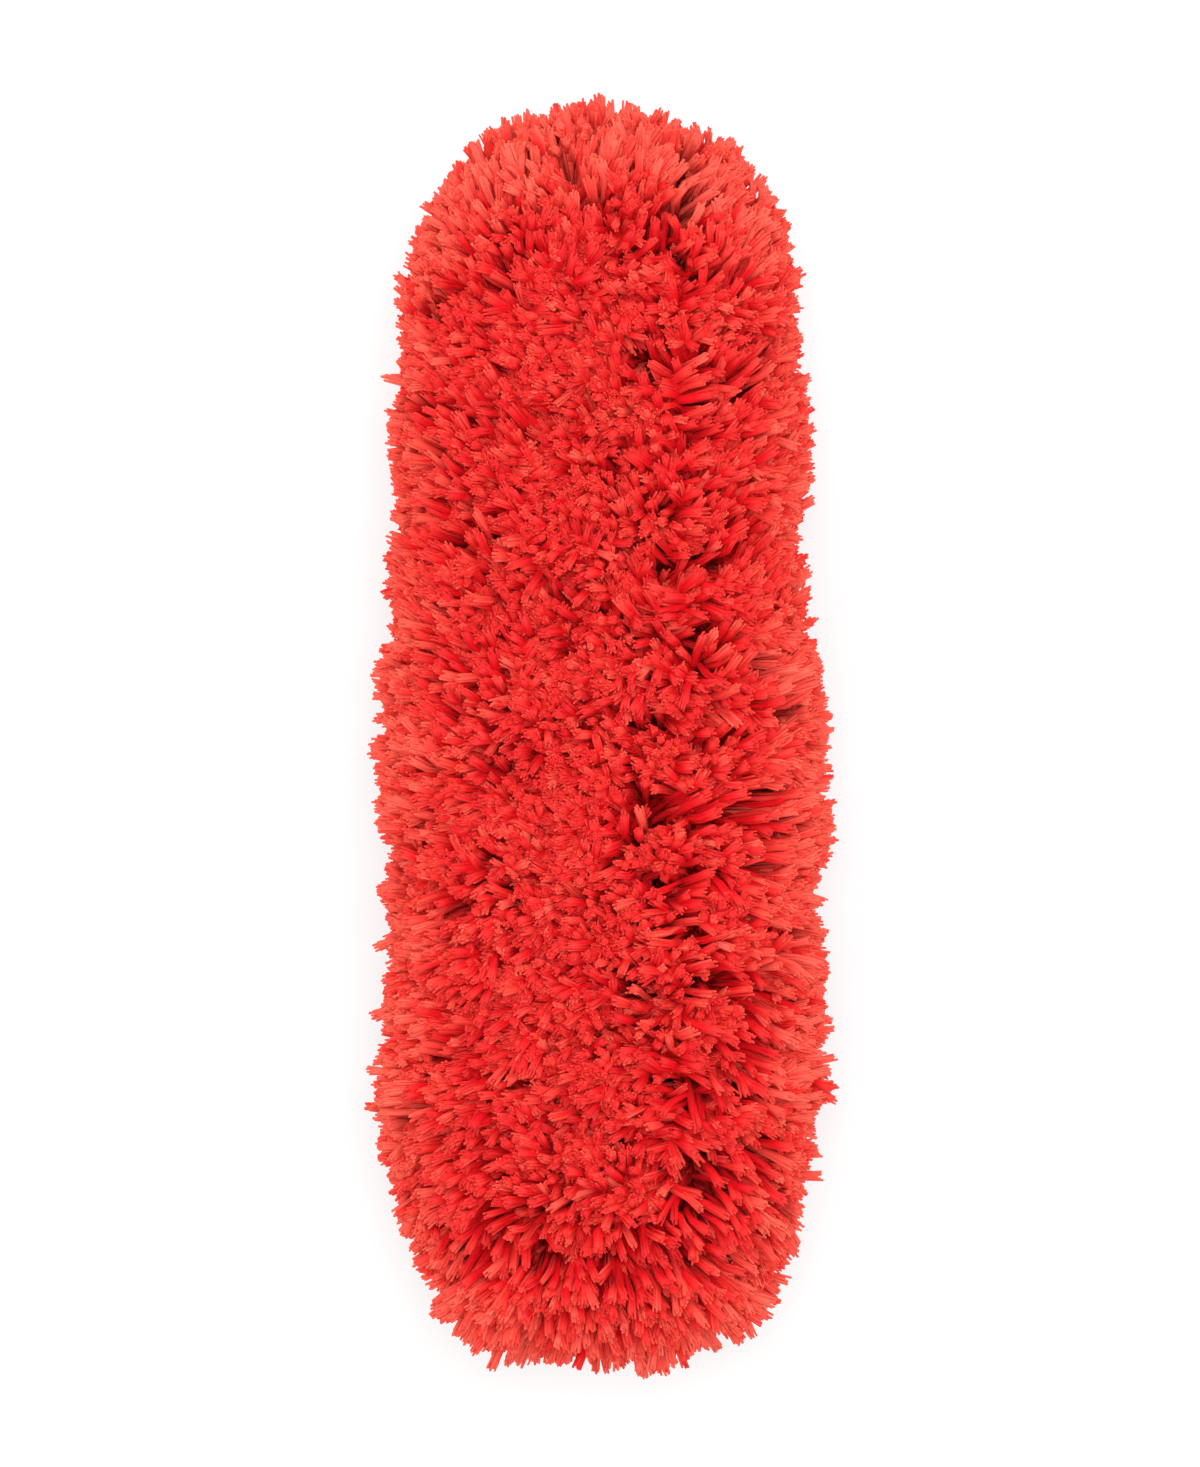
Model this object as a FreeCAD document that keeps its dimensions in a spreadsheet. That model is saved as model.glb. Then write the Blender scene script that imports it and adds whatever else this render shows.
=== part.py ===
import FreeCAD, Part
import os

import Sketcher

os.makedirs("parts", exist_ok=True)
doc = FreeCAD.newDocument("DusterSleeve")

# Frame: X across the sleeve, Y along it (mouth at -Y), Z up from the resting face.
# Sizes in millimetres; angles in degrees.
DIMENSIONS = {
    "sleeve_length": 305.0,
    "sleeve_width": 106.0,
    "mid_height": 29.0,
    "top_rise": 33.0,
    "top_fullness": 2.05,
    "under_fullness": 1.65,
    "rest_half_width": 18.0,
    "nose_above": 1.5,
    "nose_below": 3.0,
    "parting_depth": 4.8,
    "under_parting_depth": 3.0,
    "pile_clearance": 0.6,
    "pocket_half_width": 31.0,
    "pocket_gap": 8.0,
    "panel_thickness": 1.0,
    "mouth_set_back": 24.0,
    "row_pitch": 11.0,
    "tape_width": 7.0,
    "tape_thickness": 0.8,
    "root_inward": 2.6,
    "root_outward": 1.8,
    "root_height": 1.2,
    "shoulder_height": 2.6,
    "stitch_offset": 2.2,
    "stitch_width": 0.8,
    "stitch_height": 0.5,
    "binding_thickness": 0.8,
    "binding_lip": 4.2,
    "hem_depth": 8.1,
    "hem_half_length": 16.4,
    "hem_wall": 0.5,
    "elastic_thickness": 1.0,
    "elastic_clearance": 0.2,
    "mouth_tape_width": 6.0,
    "mouth_tape_half_length": 16.0,
    "centre_crest": 9.5,
    "inner_crest": 26.0,
    "outer_crest": 43.0,
    "row_end_angle": 41.0,
    "binding_end_angle": 46.0,
    "fan_start_angle": 42.5,
}

sheet = doc.addObject("Spreadsheet::Sheet", "Sizes")
for line, (alias, size) in enumerate(DIMENSIONS.items(), start=1):
    sheet.set(f"A{line}", alias)
    sheet.set(f"B{line}", str(size))
    sheet.setAlias(f"B{line}", alias)
doc.recompute()


def named(alias):
    """Expression for one dimension of the sheet."""
    return f"Sizes.{alias}"


# Levels outward from the pocket's mid-plane, each tied to the layer it lies on.
HALF_WIDTH = "(Sizes.sleeve_width / 2)"
ARC_CENTRE = "(Sizes.sleeve_length / 2 - Sizes.sleeve_width / 2)"
PANEL_IN = "(Sizes.pocket_gap / 2)"
PANEL_OUT = f"({PANEL_IN} + Sizes.panel_thickness)"
TAPE_OUT = f"({PANEL_OUT} + Sizes.tape_thickness)"
LIP_OUT = f"({PANEL_OUT} + Sizes.binding_thickness)"
HEM_OUT = f"({PANEL_OUT} + 2 * Sizes.hem_wall + 2 * Sizes.elastic_clearance + Sizes.elastic_thickness)"
MOUTH_TAPE_OUT = f"({HEM_OUT} + Sizes.tape_thickness)"
SHOULDER = f"({TAPE_OUT} + Sizes.shoulder_height)"
BINDING_OUT = "(Sizes.pocket_half_width + Sizes.binding_thickness)"
RIM_TAPE_OUT = f"({BINDING_OUT} + Sizes.tape_thickness)"
LIP_IN = f"({BINDING_OUT} - Sizes.binding_thickness - Sizes.binding_lip)"
RIM_SPLIT = f"({LIP_IN} + Sizes.stitch_width)"
HALF_CLEAR = "(Sizes.pile_clearance / 2)"


class Side:
    """One face of the sleeve: how far the pile rises, how full it is and how it parts.

    The rows stand up in rounded ridges on top; below, the sleeve's weight presses them flat.
    """

    def __init__(self, name, rise, flat, power, parting, turned):
        self.name = name
        self.rise = rise
        self.flat = flat
        self.power = power
        self.parting = parting
        self.turned = turned

    def envelope(self, across):
        """Height of the pile's outer surface at a distance across the sleeve."""
        if sheet.evalExpression(f"{across} - {self.flat}") <= 0:
            return self.rise
        share = f"(({across} - {self.flat}) / ({HALF_WIDTH} - {self.flat}))"
        return f"({self.rise} * (1 - {share}^{self.power})^(1 / {self.power}))"

    def ridge(self, across, fold):
        """Height of a row's tips where this share of the parting's depth is folded in.

        Pressed flat, the underside keeps only the bottom of each parting.
        """
        if self.turned and fold < 1:
            fold = 0
        return f"({self.envelope(across)} - {self.parting} * {fold:.3f})"


TOP = Side("top", named("top_rise"), "0", named("top_fullness"), named("parting_depth"), False)
UNDER = Side(
    "under",
    named("mid_height"),
    named("rest_half_width"),
    named("under_fullness"),
    named("under_parting_depth"),
    True,
)


def new_body(label, side=None):
    """Body on the floor, or standing on the mid-plane and turned over for the underside."""
    body = doc.addObject("PartDesign::Body", label)
    body.Label = label
    if side is not None:
        if side.turned:
            body.Placement.Rotation = FreeCAD.Rotation(FreeCAD.Vector(0, 1, 0), 180)
        body.setExpression("Placement.Base.z", named("mid_height"))
    return body


def plane_of(body, role):
    """One of the body's own origin planes."""
    return next(item for item in body.Origin.OriginFeatures if item.Role == role)


def pin(sketch, vertex, kind, expression):
    """Tie one coordinate of a vertex to a sheet expression."""
    size = sheet.evalExpression(expression)
    if abs(size) < 1e-9:
        axis = -2 if kind == "DistanceX" else -1
        sketch.addConstraint(Sketcher.Constraint("PointOnObject", vertex, 1, axis))
        return
    ends = (-1, 1, vertex, 1) if size > 0 else (vertex, 1, -1, 1)
    index = sketch.addConstraint(Sketcher.Constraint(kind, *ends, abs(size)))
    sketch.setExpression(f"Constraints[{index}]", expression if size > 0 else f"-({expression})")


def closed_sketch(body, name, role, offset, points, slid="z"):
    """Closed polygon whose every corner is tied to the sheet.

    It lies on an origin plane, set off by offset along the plane's normal (slid "z") or
    its own first axis (slid "x").
    """
    sketch = body.newObject("Sketcher::SketchObject", name)
    sketch.AttachmentSupport = (plane_of(body, role), [""])
    sketch.MapMode = "FlatFace"
    sketch.setExpression(f"AttachmentOffset.Base.{slid}", offset)
    corners = [
        FreeCAD.Vector(sheet.evalExpression(x), sheet.evalExpression(y), 0) for x, y in points
    ]
    for index, corner in enumerate(corners):
        sketch.addGeometry(Part.LineSegment(corner, corners[(index + 1) % len(corners)]), False)
    for index, (x, y) in enumerate(points):
        sketch.addConstraint(Sketcher.Constraint("Coincident", index, 2, (index + 1) % len(points), 1))
        pin(sketch, index, "DistanceX", x)
        pin(sketch, index, "DistanceY", y)
    return sketch


def pad(body, name, sketch, length):
    """Straight run of a section along -Y."""
    feature = body.newObject("PartDesign::Pad", name)
    feature.Profile = sketch
    feature.setExpression("Length", length)
    return feature


def turn(body, name, sketch, angle, towards_mouth):
    """Run of a section round the upright axis through its sketch's origin."""
    feature = body.newObject("PartDesign::Revolution", name)
    feature.Profile = sketch
    feature.ReferenceAxis = (sketch, ["V_Axis"])
    feature.setExpression("Angle", angle)
    feature.Reversed = towards_mouth
    return feature


def mirror(body, features):
    """Left half of a sleeve layer, from its right half."""
    mirrored = body.newObject("PartDesign::Mirrored", f"{body.Name}_both")
    mirrored.Originals = features
    mirrored.MirrorPlane = (plane_of(body, "YZ_Plane"), [""])
    body.Tip = mirrored
    return mirrored


def layer(label, side, section, mouth_angle):
    """Layer that follows the outline: up one side, round the closed end and back down.

    At the mouth end it carries on round the arc by mouth_angle on each side.
    """
    body = new_body(label, side)
    far = closed_sketch(body, f"{label}_far", "XZ_Plane", f"-{ARC_CENTRE}", section)
    near = closed_sketch(body, f"{label}_near", "XZ_Plane", ARC_CENTRE, section)
    run = pad(body, f"{label}_run", far, f"2 * {ARC_CENTRE}")
    head = turn(body, f"{label}_head", far, "90", False)
    foot = turn(body, f"{label}_foot", near, mouth_angle, True)
    mirror(body, [run, head, foot])
    return body


def block(x_low, x_high, z_low, z_high):
    """Rectangle as a section."""
    return [(x_low, z_low), (x_high, z_low), (x_high, z_high), (x_low, z_high)]


def pocket_panel(side):
    """Woven panel of the pocket, cut straight across at the mouth."""
    label = f"pocket_panel_{side.name}"
    section = block("0", named("pocket_half_width"), PANEL_IN, PANEL_OUT)
    body = layer(label, side, section, "90")
    mouth = f"(-{ARC_CENTRE} - Sizes.mouth_set_back)"
    beyond = f"(-{ARC_CENTRE} - 2 * Sizes.pocket_half_width)"
    reach = "2 * Sizes.pocket_half_width"
    outline = [(f"-{reach}", beyond), (reach, beyond), (reach, mouth), (f"-{reach}", mouth)]
    cut = body.newObject("PartDesign::Pocket", f"{label}_mouth")
    cut.Profile = closed_sketch(body, f"{label}_mouth_line", "XY_Plane", "0", outline)
    cut.Type = 1
    cut.Midplane = True
    return body


def edge_binding():
    """Folded tape that closes the pocket's side wall and laps over both panels."""
    low = f"(Sizes.mid_height - {LIP_OUT})"
    high = f"(Sizes.mid_height + {LIP_OUT})"
    wall = named("pocket_half_width")
    section = [
        (LIP_IN, low),
        (BINDING_OUT, low),
        (BINDING_OUT, high),
        (LIP_IN, high),
        (LIP_IN, f"(Sizes.mid_height + {PANEL_OUT})"),
        (wall, f"(Sizes.mid_height + {PANEL_OUT})"),
        (wall, f"(Sizes.mid_height - {PANEL_OUT})"),
        (LIP_IN, f"(Sizes.mid_height - {PANEL_OUT})"),
    ]
    return layer("edge_binding", None, section, named("binding_end_angle"))


def edge_stitch(side):
    """Stitch line along the middle of the binding's lip."""
    inner = f"({LIP_IN} + Sizes.binding_lip / 2)"
    section = block(
        inner, f"({inner} + Sizes.stitch_width)", LIP_OUT, f"({LIP_OUT} + Sizes.stitch_height)"
    )
    return layer(f"edge_stitch_{side.name}", side, section, named("binding_end_angle"))


def row_tape(side, name, radius, mouth_angle):
    """Header tape that carries one row of pile."""
    low = "0" if radius == "0" else f"({radius} - Sizes.tape_width / 2)"
    section = block(low, f"({radius} + Sizes.tape_width / 2)", PANEL_OUT, TAPE_OUT)
    return layer(f"tape_{side.name}_{name}", side, section, mouth_angle)


def row_stitch(side, name, radius, mouth_angle):
    """Stitch line on the outer margin of a header tape."""
    inner = f"({radius} + Sizes.stitch_offset)"
    section = block(
        inner, f"({inner} + Sizes.stitch_width)", TAPE_OUT, f"({TAPE_OUT} + Sizes.stitch_height)"
    )
    return layer(f"stitch_{side.name}_{name}", side, section, mouth_angle)


def both_folds(share):
    """Fold of a row that parts from a neighbour on each side."""
    return (2 * share - 1) ** 2


def outer_fold(share):
    """Fold of the centre row, which parts on its outer side alone."""
    return share**2


def inner_fold(share):
    """Fold of a row that parts on its inner side alone."""
    return max(0, 1 - 2 * share) ** 2


def crest(side, inner, outer, shares, fold):
    """Points along the tips of a row, from its inner boundary out."""
    points = []
    for share in shares:
        across = f"({inner} + ({outer} - {inner}) * {share})"
        points.append((across, side.ridge(across, fold(share))))
    return points


def row_pile(side, name, radius, low, crest_in, crest_out, mouth_angle):
    """Yarn pile of one row: narrow on its tape and fanned out at the tips."""
    root_top = f"({TAPE_OUT} + Sizes.root_height)"
    right = [
        (f"({radius} + Sizes.root_outward)", TAPE_OUT),
        (f"({radius} + Sizes.root_outward)", root_top),
        (f"({low[1]} - {HALF_CLEAR})", SHOULDER),
    ]
    if radius == "0":
        tips = crest(side, "0", f"({crest_out} - {HALF_CLEAR})", (0.5, 0.8, 1), outer_fold)
        section = [("0", TAPE_OUT)] + right + tips[::-1] + [("0", side.rise)]
    else:
        left = [
            (f"({low[0]} + {HALF_CLEAR})", SHOULDER),
            (f"({radius} - Sizes.root_inward)", root_top),
            (f"({radius} - Sizes.root_inward)", TAPE_OUT),
        ]
        shares = (0, 0.15, 0.4, 0.65, 0.85, 1)
        crest_low, crest_high = f"({crest_in} + {HALF_CLEAR})", f"({crest_out} - {HALF_CLEAR})"
        tips = crest(side, crest_low, crest_high, shares, both_folds)
        section = right + tips[::-1] + left
    return layer(f"pile_{side.name}_{name}", side, section, mouth_angle)


def rim_tape():
    """Header tape of the rim row, sewn to the outside of the binding."""
    half = "Sizes.tape_width / 2"
    section = block(
        BINDING_OUT, RIM_TAPE_OUT, f"(Sizes.mid_height - {half})", f"(Sizes.mid_height + {half})"
    )
    return layer("tape_rim", None, section, named("row_end_angle"))


def rim_stitch():
    """Stitch line along the lower margin of the rim tape."""
    high = "(Sizes.mid_height - Sizes.stitch_offset)"
    section = block(
        RIM_TAPE_OUT,
        f"({RIM_TAPE_OUT} + Sizes.stitch_height)",
        f"({high} - Sizes.stitch_width)",
        high,
    )
    return layer("stitch_rim", None, section, named("row_end_angle"))


def rim_half(side, sign):
    """Rim pile's outline on one side of the mid-plane, from its root out to its tips."""
    def level(height):
        return f"(Sizes.mid_height {sign} {height})"

    root = "Sizes.root_outward" if sign == "+" else "Sizes.root_inward / 2"
    clear = f"({RIM_TAPE_OUT} + Sizes.stitch_height + Sizes.pile_clearance)"
    beside = f"({BINDING_OUT} + Sizes.pile_clearance)"
    over_lip = f"({LIP_OUT} + Sizes.stitch_height + Sizes.pile_clearance)"
    boundary = f"({RIM_SPLIT} + {HALF_CLEAR})"
    points = [
        (RIM_TAPE_OUT, level(root)),
        (clear, level(f"({root} + Sizes.stitch_height)")),
        (clear, level("(Sizes.tape_width / 2)")),
        (beside, level("(Sizes.tape_width / 2 + Sizes.stitch_width)")),
        (beside, level(over_lip)),
        (boundary, level(over_lip)),
        (boundary, level(SHOULDER)),
    ]
    inner = f"({named('outer_crest')} + {HALF_CLEAR})"
    for across, height in crest(side, inner, HALF_WIDTH, (0, 0.25, 0.55, 0.8, 0.95), inner_fold):
        points.append((across, level(height)))
    return points


def rim_pile():
    """Yarn pile that stands out all round the sleeve's edge."""
    upper = rim_half(TOP, "+")
    lower = rim_half(UNDER, "-")
    nose = [
        (HALF_WIDTH, "(Sizes.mid_height + Sizes.nose_above)"),
        (HALF_WIDTH, "(Sizes.mid_height - Sizes.nose_below)"),
    ]
    return layer("pile_rim", None, upper + nose + lower[::-1], named("row_end_angle"))


def across_mouth(label, side, half_length, corners):
    """Strip that runs straight across the mouth; corners are (along, height) from the arc centre."""
    body = new_body(label, side)
    points = [(f"(-{ARC_CENTRE} - {along})", height) for along, height in corners]
    sketch = closed_sketch(body, f"{label}_section", "YZ_Plane", "0", points)
    strip = pad(body, f"{label}_run", sketch, f"2 * {half_length}")
    strip.Midplane = True
    return body


def strip_corners(near, far, low, high):
    """Rectangle for across_mouth."""
    return [(far, low), (near, low), (near, high), (far, high)]


HEM_NEAR = "(Sizes.mouth_set_back - Sizes.hem_depth)"
HEM_FAR = named("mouth_set_back")
CAVITY_LOW = f"({PANEL_OUT} + Sizes.hem_wall)"
CAVITY_HIGH = f"({HEM_OUT} - Sizes.hem_wall)"


def mouth_hem(side):
    """Folded hem: a flat tube along the mouth edge, open at both ends for the elastic."""
    label = f"mouth_hem_{side.name}"
    body = across_mouth(
        label, side, named("hem_half_length"), strip_corners(HEM_NEAR, HEM_FAR, PANEL_OUT, HEM_OUT)
    )
    near = f"(-{ARC_CENTRE} - {HEM_NEAR} - Sizes.hem_wall)"
    far = f"(-{ARC_CENTRE} - {HEM_FAR} + Sizes.hem_wall)"
    channel = body.newObject("PartDesign::Pocket", f"{label}_channel")
    channel.Profile = closed_sketch(
        body,
        f"{label}_channel_section",
        "YZ_Plane",
        "0",
        [(far, CAVITY_LOW), (near, CAVITY_LOW), (near, CAVITY_HIGH), (far, CAVITY_HIGH)],
    )
    channel.Type = 1
    channel.Midplane = True
    return body


def mouth_elastic(side):
    """Elastic strip inside the hem, clear of its walls."""
    gap = "(Sizes.hem_wall + Sizes.elastic_clearance)"
    return across_mouth(
        f"mouth_elastic_{side.name}",
        side,
        "(Sizes.hem_half_length - Sizes.pile_clearance)",
        strip_corners(
            f"({HEM_NEAR} + {gap})",
            f"({HEM_FAR} - {gap})",
            f"({CAVITY_LOW} + Sizes.elastic_clearance)",
            f"({CAVITY_HIGH} - Sizes.elastic_clearance)",
        ),
    )


def hem_stitch(side):
    """Stitch line that closes the hem along its inner edge."""
    near = f"({HEM_NEAR} + Sizes.hem_wall)"
    return across_mouth(
        f"hem_stitch_{side.name}",
        side,
        named("mouth_tape_half_length"),
        strip_corners(
            near, f"({near} + Sizes.stitch_width)", HEM_OUT, f"({HEM_OUT} + Sizes.stitch_height)"
        ),
    )


def mouth_tape(side):
    """Header tape of the mouth row, lying on the hem."""
    far = f"({HEM_FAR} - Sizes.elastic_clearance)"
    return across_mouth(
        f"tape_{side.name}_mouth",
        side,
        named("mouth_tape_half_length"),
        strip_corners(f"({far} - Sizes.mouth_tape_width)", far, HEM_OUT, MOUTH_TAPE_OUT),
    )


def mouth_stitch(side):
    """Stitch line on the mouth row's header tape."""
    far = f"({HEM_FAR} - Sizes.stitch_width)"
    return across_mouth(
        f"stitch_{side.name}_mouth",
        side,
        "(Sizes.mouth_tape_half_length - Sizes.pile_clearance)",
        strip_corners(
            f"({far} - Sizes.stitch_width)",
            far,
            MOUTH_TAPE_OUT,
            f"({MOUTH_TAPE_OUT} + Sizes.stitch_height)",
        ),
    )


def mouth_pile(side):
    """Yarn pile that fans out over the mouth end and leaves the pocket's slot open."""
    label = f"pile_{side.name}_mouth"
    body = new_body(label, side)
    inner = "(Sizes.row_pitch * 1.5 + Sizes.pile_clearance)"
    root_out = f"({HEM_FAR} - Sizes.mouth_tape_width / 2)"
    over_stitch = f"({MOUTH_TAPE_OUT} + Sizes.stitch_height + Sizes.pile_clearance)"
    past_rim = f"({RIM_TAPE_OUT} + Sizes.stitch_height + Sizes.pile_clearance)"
    slot = f"({PANEL_IN} + Sizes.pile_clearance)"
    section = [
        (inner, MOUTH_TAPE_OUT),
        (root_out, MOUTH_TAPE_OUT),
        (f"({root_out} + Sizes.pile_clearance)", over_stitch),
        (past_rim, over_stitch),
        (f"({past_rim} + Sizes.pile_clearance)", slot),
        (HALF_WIDTH, slot),
    ]
    crest_in = f"({named('inner_crest')} + {HALF_CLEAR})"
    tips = crest(side, crest_in, HALF_WIDTH, (0, 0.15, 0.4, 0.65, 0.85, 0.96), inner_fold)
    section += tips[::-1]
    section.append((inner, f"({over_stitch})"))
    section = [(f"-{across}", height) for across, height in section]
    near = closed_sketch(body, f"{label}_near", "YZ_Plane", f"-{ARC_CENTRE}", section, "x")
    fan = turn(body, f"{label}_fan", near, f"2 * (90 - {named('fan_start_angle')})", False)
    fan.Midplane = True
    return body


bodies = [edge_binding(), rim_tape(), rim_stitch(), rim_pile()]
INNER = named("row_pitch")
OUTER = "(2 * Sizes.row_pitch)"
ROWS = [
    ("centre", "0", ("0", "(Sizes.row_pitch / 2)"), "0", named("centre_crest"), "90"),
    (
        "inner",
        INNER,
        ("(Sizes.row_pitch / 2)", "(1.5 * Sizes.row_pitch)"),
        named("centre_crest"),
        named("inner_crest"),
        "90",
    ),
    (
        "outer",
        OUTER,
        ("(1.5 * Sizes.row_pitch)", RIM_SPLIT),
        named("inner_crest"),
        named("outer_crest"),
        named("row_end_angle"),
    ),
]
for side in (TOP, UNDER):
    bodies += [pocket_panel(side), edge_stitch(side), mouth_hem(side), mouth_elastic(side)]
    bodies += [hem_stitch(side), mouth_tape(side), mouth_stitch(side), mouth_pile(side)]
    for name, radius, low, crest_in, crest_out, mouth_angle in ROWS:
        bodies.append(row_tape(side, name, radius, mouth_angle))
        bodies.append(row_stitch(side, name, radius, mouth_angle))
        bodies.append(row_pile(side, name, radius, low, crest_in, crest_out, mouth_angle))

doc.recompute()
for item in doc.Objects:
    if {"Invalid", "Error"} & set(item.State):
        raise RuntimeError(f"{item.Name}: {item.State}")
for body in bodies:
    shape = body.Shape
    if shape.isNull() or not shape.isValid() or len(shape.Solids) != 1:
        raise RuntimeError(f"{body.Label}: not one valid solid")
    shape.exportStep(f"parts/{body.Label}.step")
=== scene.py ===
"""Soft duster sleeve: rows of cut microfibre yarn sewn to a flat cloth pocket."""

import logging
import math
from dataclasses import dataclass
from enum import Enum

import bpy
import numpy as np
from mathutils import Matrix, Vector


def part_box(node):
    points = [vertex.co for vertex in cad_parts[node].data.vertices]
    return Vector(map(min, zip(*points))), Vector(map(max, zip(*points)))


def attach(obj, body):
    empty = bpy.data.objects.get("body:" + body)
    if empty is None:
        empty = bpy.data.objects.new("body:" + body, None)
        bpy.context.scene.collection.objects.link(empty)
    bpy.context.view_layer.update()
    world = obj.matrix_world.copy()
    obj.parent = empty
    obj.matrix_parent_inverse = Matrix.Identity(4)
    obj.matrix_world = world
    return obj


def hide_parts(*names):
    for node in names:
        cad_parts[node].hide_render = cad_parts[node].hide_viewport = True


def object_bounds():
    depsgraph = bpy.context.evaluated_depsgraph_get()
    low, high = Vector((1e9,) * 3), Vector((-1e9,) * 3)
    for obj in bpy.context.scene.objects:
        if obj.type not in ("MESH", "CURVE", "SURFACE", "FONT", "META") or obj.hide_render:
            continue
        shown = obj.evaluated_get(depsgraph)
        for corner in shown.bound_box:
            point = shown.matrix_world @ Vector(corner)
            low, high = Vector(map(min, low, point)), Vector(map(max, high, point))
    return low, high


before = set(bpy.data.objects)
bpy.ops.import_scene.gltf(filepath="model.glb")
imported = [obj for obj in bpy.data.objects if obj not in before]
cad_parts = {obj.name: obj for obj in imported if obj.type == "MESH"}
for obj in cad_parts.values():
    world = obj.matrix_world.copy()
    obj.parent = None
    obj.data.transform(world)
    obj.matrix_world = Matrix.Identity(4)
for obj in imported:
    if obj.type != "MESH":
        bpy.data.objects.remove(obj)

CAD_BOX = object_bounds()
MM = 0.001
GOLDEN_SHARE = 0.6180340
GOLDEN_ANGLE = 2.39996
WHITE = (1.0, 1.0, 1.0, 1.0)
BLACK = (0.0, 0.0, 0.0, 1.0)
log = logging.getLogger("duster_sleeve")


def linear(red: int, green: int, blue: int) -> tuple[float, float, float, float]:
    """Colour as shaders take it, from the usual 0 to 255 values.

    Args:
        red: red value.
        green: green value.
        blue: blue value.

    Returns:
        Linear red, green and blue, with alpha 1.
    """
    shares = [value / 255 for value in (red, green, blue)]
    straight = [s / 12.92 if s <= 0.04045 else ((s + 0.055) / 1.055) ** 2.4 for s in shares]
    return (straight[0], straight[1], straight[2], 1.0)


def in_mm(corners: tuple[tuple[float, ...], ...]) -> tuple[np.ndarray, np.ndarray]:
    """Lowest and highest corner of a box, in millimetres."""
    low, high = corners
    return np.array(low) / MM, np.array(high) / MM


class Face(Enum):
    """Which way a row of pile stands from the pocket."""

    TOP = "top"
    UNDER = "under"
    RIM = "rim"


@dataclass(frozen=True)
class Outline:
    """The long rounded outline that every ring of the sleeve follows.

    Sizes are in millimetres.
    """

    arc_centre: float
    half_width: float
    mid_height: float

    @classmethod
    def from_frame(cls) -> "Outline":
        """Outline read from the pocket panels and the whole part's box."""
        low, high = in_mm(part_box("pocket_panel_top"))
        under_high = in_mm(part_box("pocket_panel_under"))[1][2]
        whole = np.array(CAD_BOX) / MM
        return cls(
            arc_centre=float(high[1] - high[0]),
            half_width=float(whole[1][0]),
            mid_height=float((low[2] + under_high) / 2),
        )

    def length(self, radius: float, mouth_angle: float) -> float:
        """Length of a ring that stops short of the mouth.

        Args:
            radius: the ring's distance from the centre line.
            mouth_angle: how far, in radians, the ring goes round the mouth end on each side.

        Returns:
            The ring's length in millimetres.
        """
        return 4 * self.arc_centre + (math.pi + 2 * mouth_angle) * radius

    def place(
        self, along: np.ndarray, radius: float, mouth_angle: float
    ) -> tuple[np.ndarray, np.ndarray]:
        """Points of a ring and their outward directions.

        Args:
            along: distances from the ring's right-hand end at the mouth.
            radius: the ring's distance from the centre line.
            mouth_angle: how far the ring goes round the mouth end on each side.

        Returns:
            Points and unit normals, each an array of (x, y).
        """
        foot = radius * mouth_angle
        side = 2 * self.arc_centre
        head = math.pi * radius
        cuts = np.cumsum([foot, side, head, side, foot])
        part = np.searchsorted(cuts[:-1], along, side="right")
        left = along - np.concatenate([[0.0], cuts[:-1]])[part]
        turn = np.zeros_like(along)
        safe = max(radius, 1e-6)
        turn = np.where(part == 0, (left - foot) / safe, turn)
        turn = np.where(part == 2, left / safe, turn)
        turn = np.where(part == 3, math.pi, turn)
        turn = np.where(part == 4, math.pi + left / safe, turn)
        normal = np.stack([np.cos(turn), np.sin(turn)], axis=1)
        rise = np.select(
            [part == 0, part == 1, part == 2, part == 3],
            [-self.arc_centre, left - self.arc_centre, self.arc_centre, self.arc_centre - left],
            -self.arc_centre,
        )
        point = normal * radius
        point[:, 1] += rise
        return point, normal


@dataclass(frozen=True)
class Lump:
    """A lump or a hollow in the fluff: tips reach further out, or less far, about one place."""

    side: int
    along: float
    reach: float
    spread: float


LUMPS = (
    Lump(1, 2.0, 3.6, 14.0),
    Lump(1, -20.0, 4.2, 12.0),
    Lump(1, -50.0, 2.8, 9.0),
    Lump(1, -76.0, 3.2, 16.0),
    Lump(1, 46.0, -3.0, 16.0),
    Lump(1, -98.0, -1.6, 8.0),
    Lump(1, 104.0, -4.4, 22.0),
    Lump(-1, 106.0, -3.8, 24.0),
    Lump(-1, 56.0, -1.6, 18.0),
    Lump(-1, -4.0, 1.6, 18.0),
    Lump(-1, -86.0, 1.4, 20.0),
    Lump(-1, -118.0, -1.8, 10.0),
    Lump(1, -132.0, 2.2, 12.0),
    Lump(-1, -134.0, 1.4, 12.0),
)


@dataclass(frozen=True)
class YarnShape:
    """One cut yarn: a soft shaft that swells and frays to a brush of filaments, in millimetres."""

    sides: int = 5
    stations: tuple[float, ...] = (0.0, 0.22, 0.42, 0.62, 0.82, 0.96, 1.0)
    root_radius: float = 0.58
    shaft_radius: float = 0.76
    flare_radius: float = 0.96
    lumpy: float = 0.10
    turns: float = 0.3
    filaments: int = 7
    filament_radius: float = 0.34
    splay: float = 1.02
    fray: float = 0.5
    floor_gap: float = 0.15

    @property
    def rings(self) -> int:
        """Number of rings along the shaft; the last station belongs to the filaments' ends."""
        return len(self.stations) - 1

    @property
    def shares(self) -> np.ndarray:
        """Places along the yarn, from 0 at the root to 1 at the cut end."""
        return np.array(self.stations)

    @property
    def corners(self) -> int:
        """Number of mesh points in one filament: three rings of three and an end point."""
        return 10

    @property
    def block(self) -> int:
        """Number of mesh points in one yarn."""
        return self.rings * self.sides + 1 + self.corners * self.filaments

    def radii(self) -> np.ndarray:
        """Radius of the shaft at each ring."""
        share = self.shares[:-1]
        filled = np.clip(share / 0.3, 0, 1)
        shaft = self.root_radius + (self.shaft_radius - self.root_radius) * filled
        flare = np.clip((share - 0.6) / 0.3, 0, 1)
        return shaft + (self.flare_radius - self.shaft_radius) * flare


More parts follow.
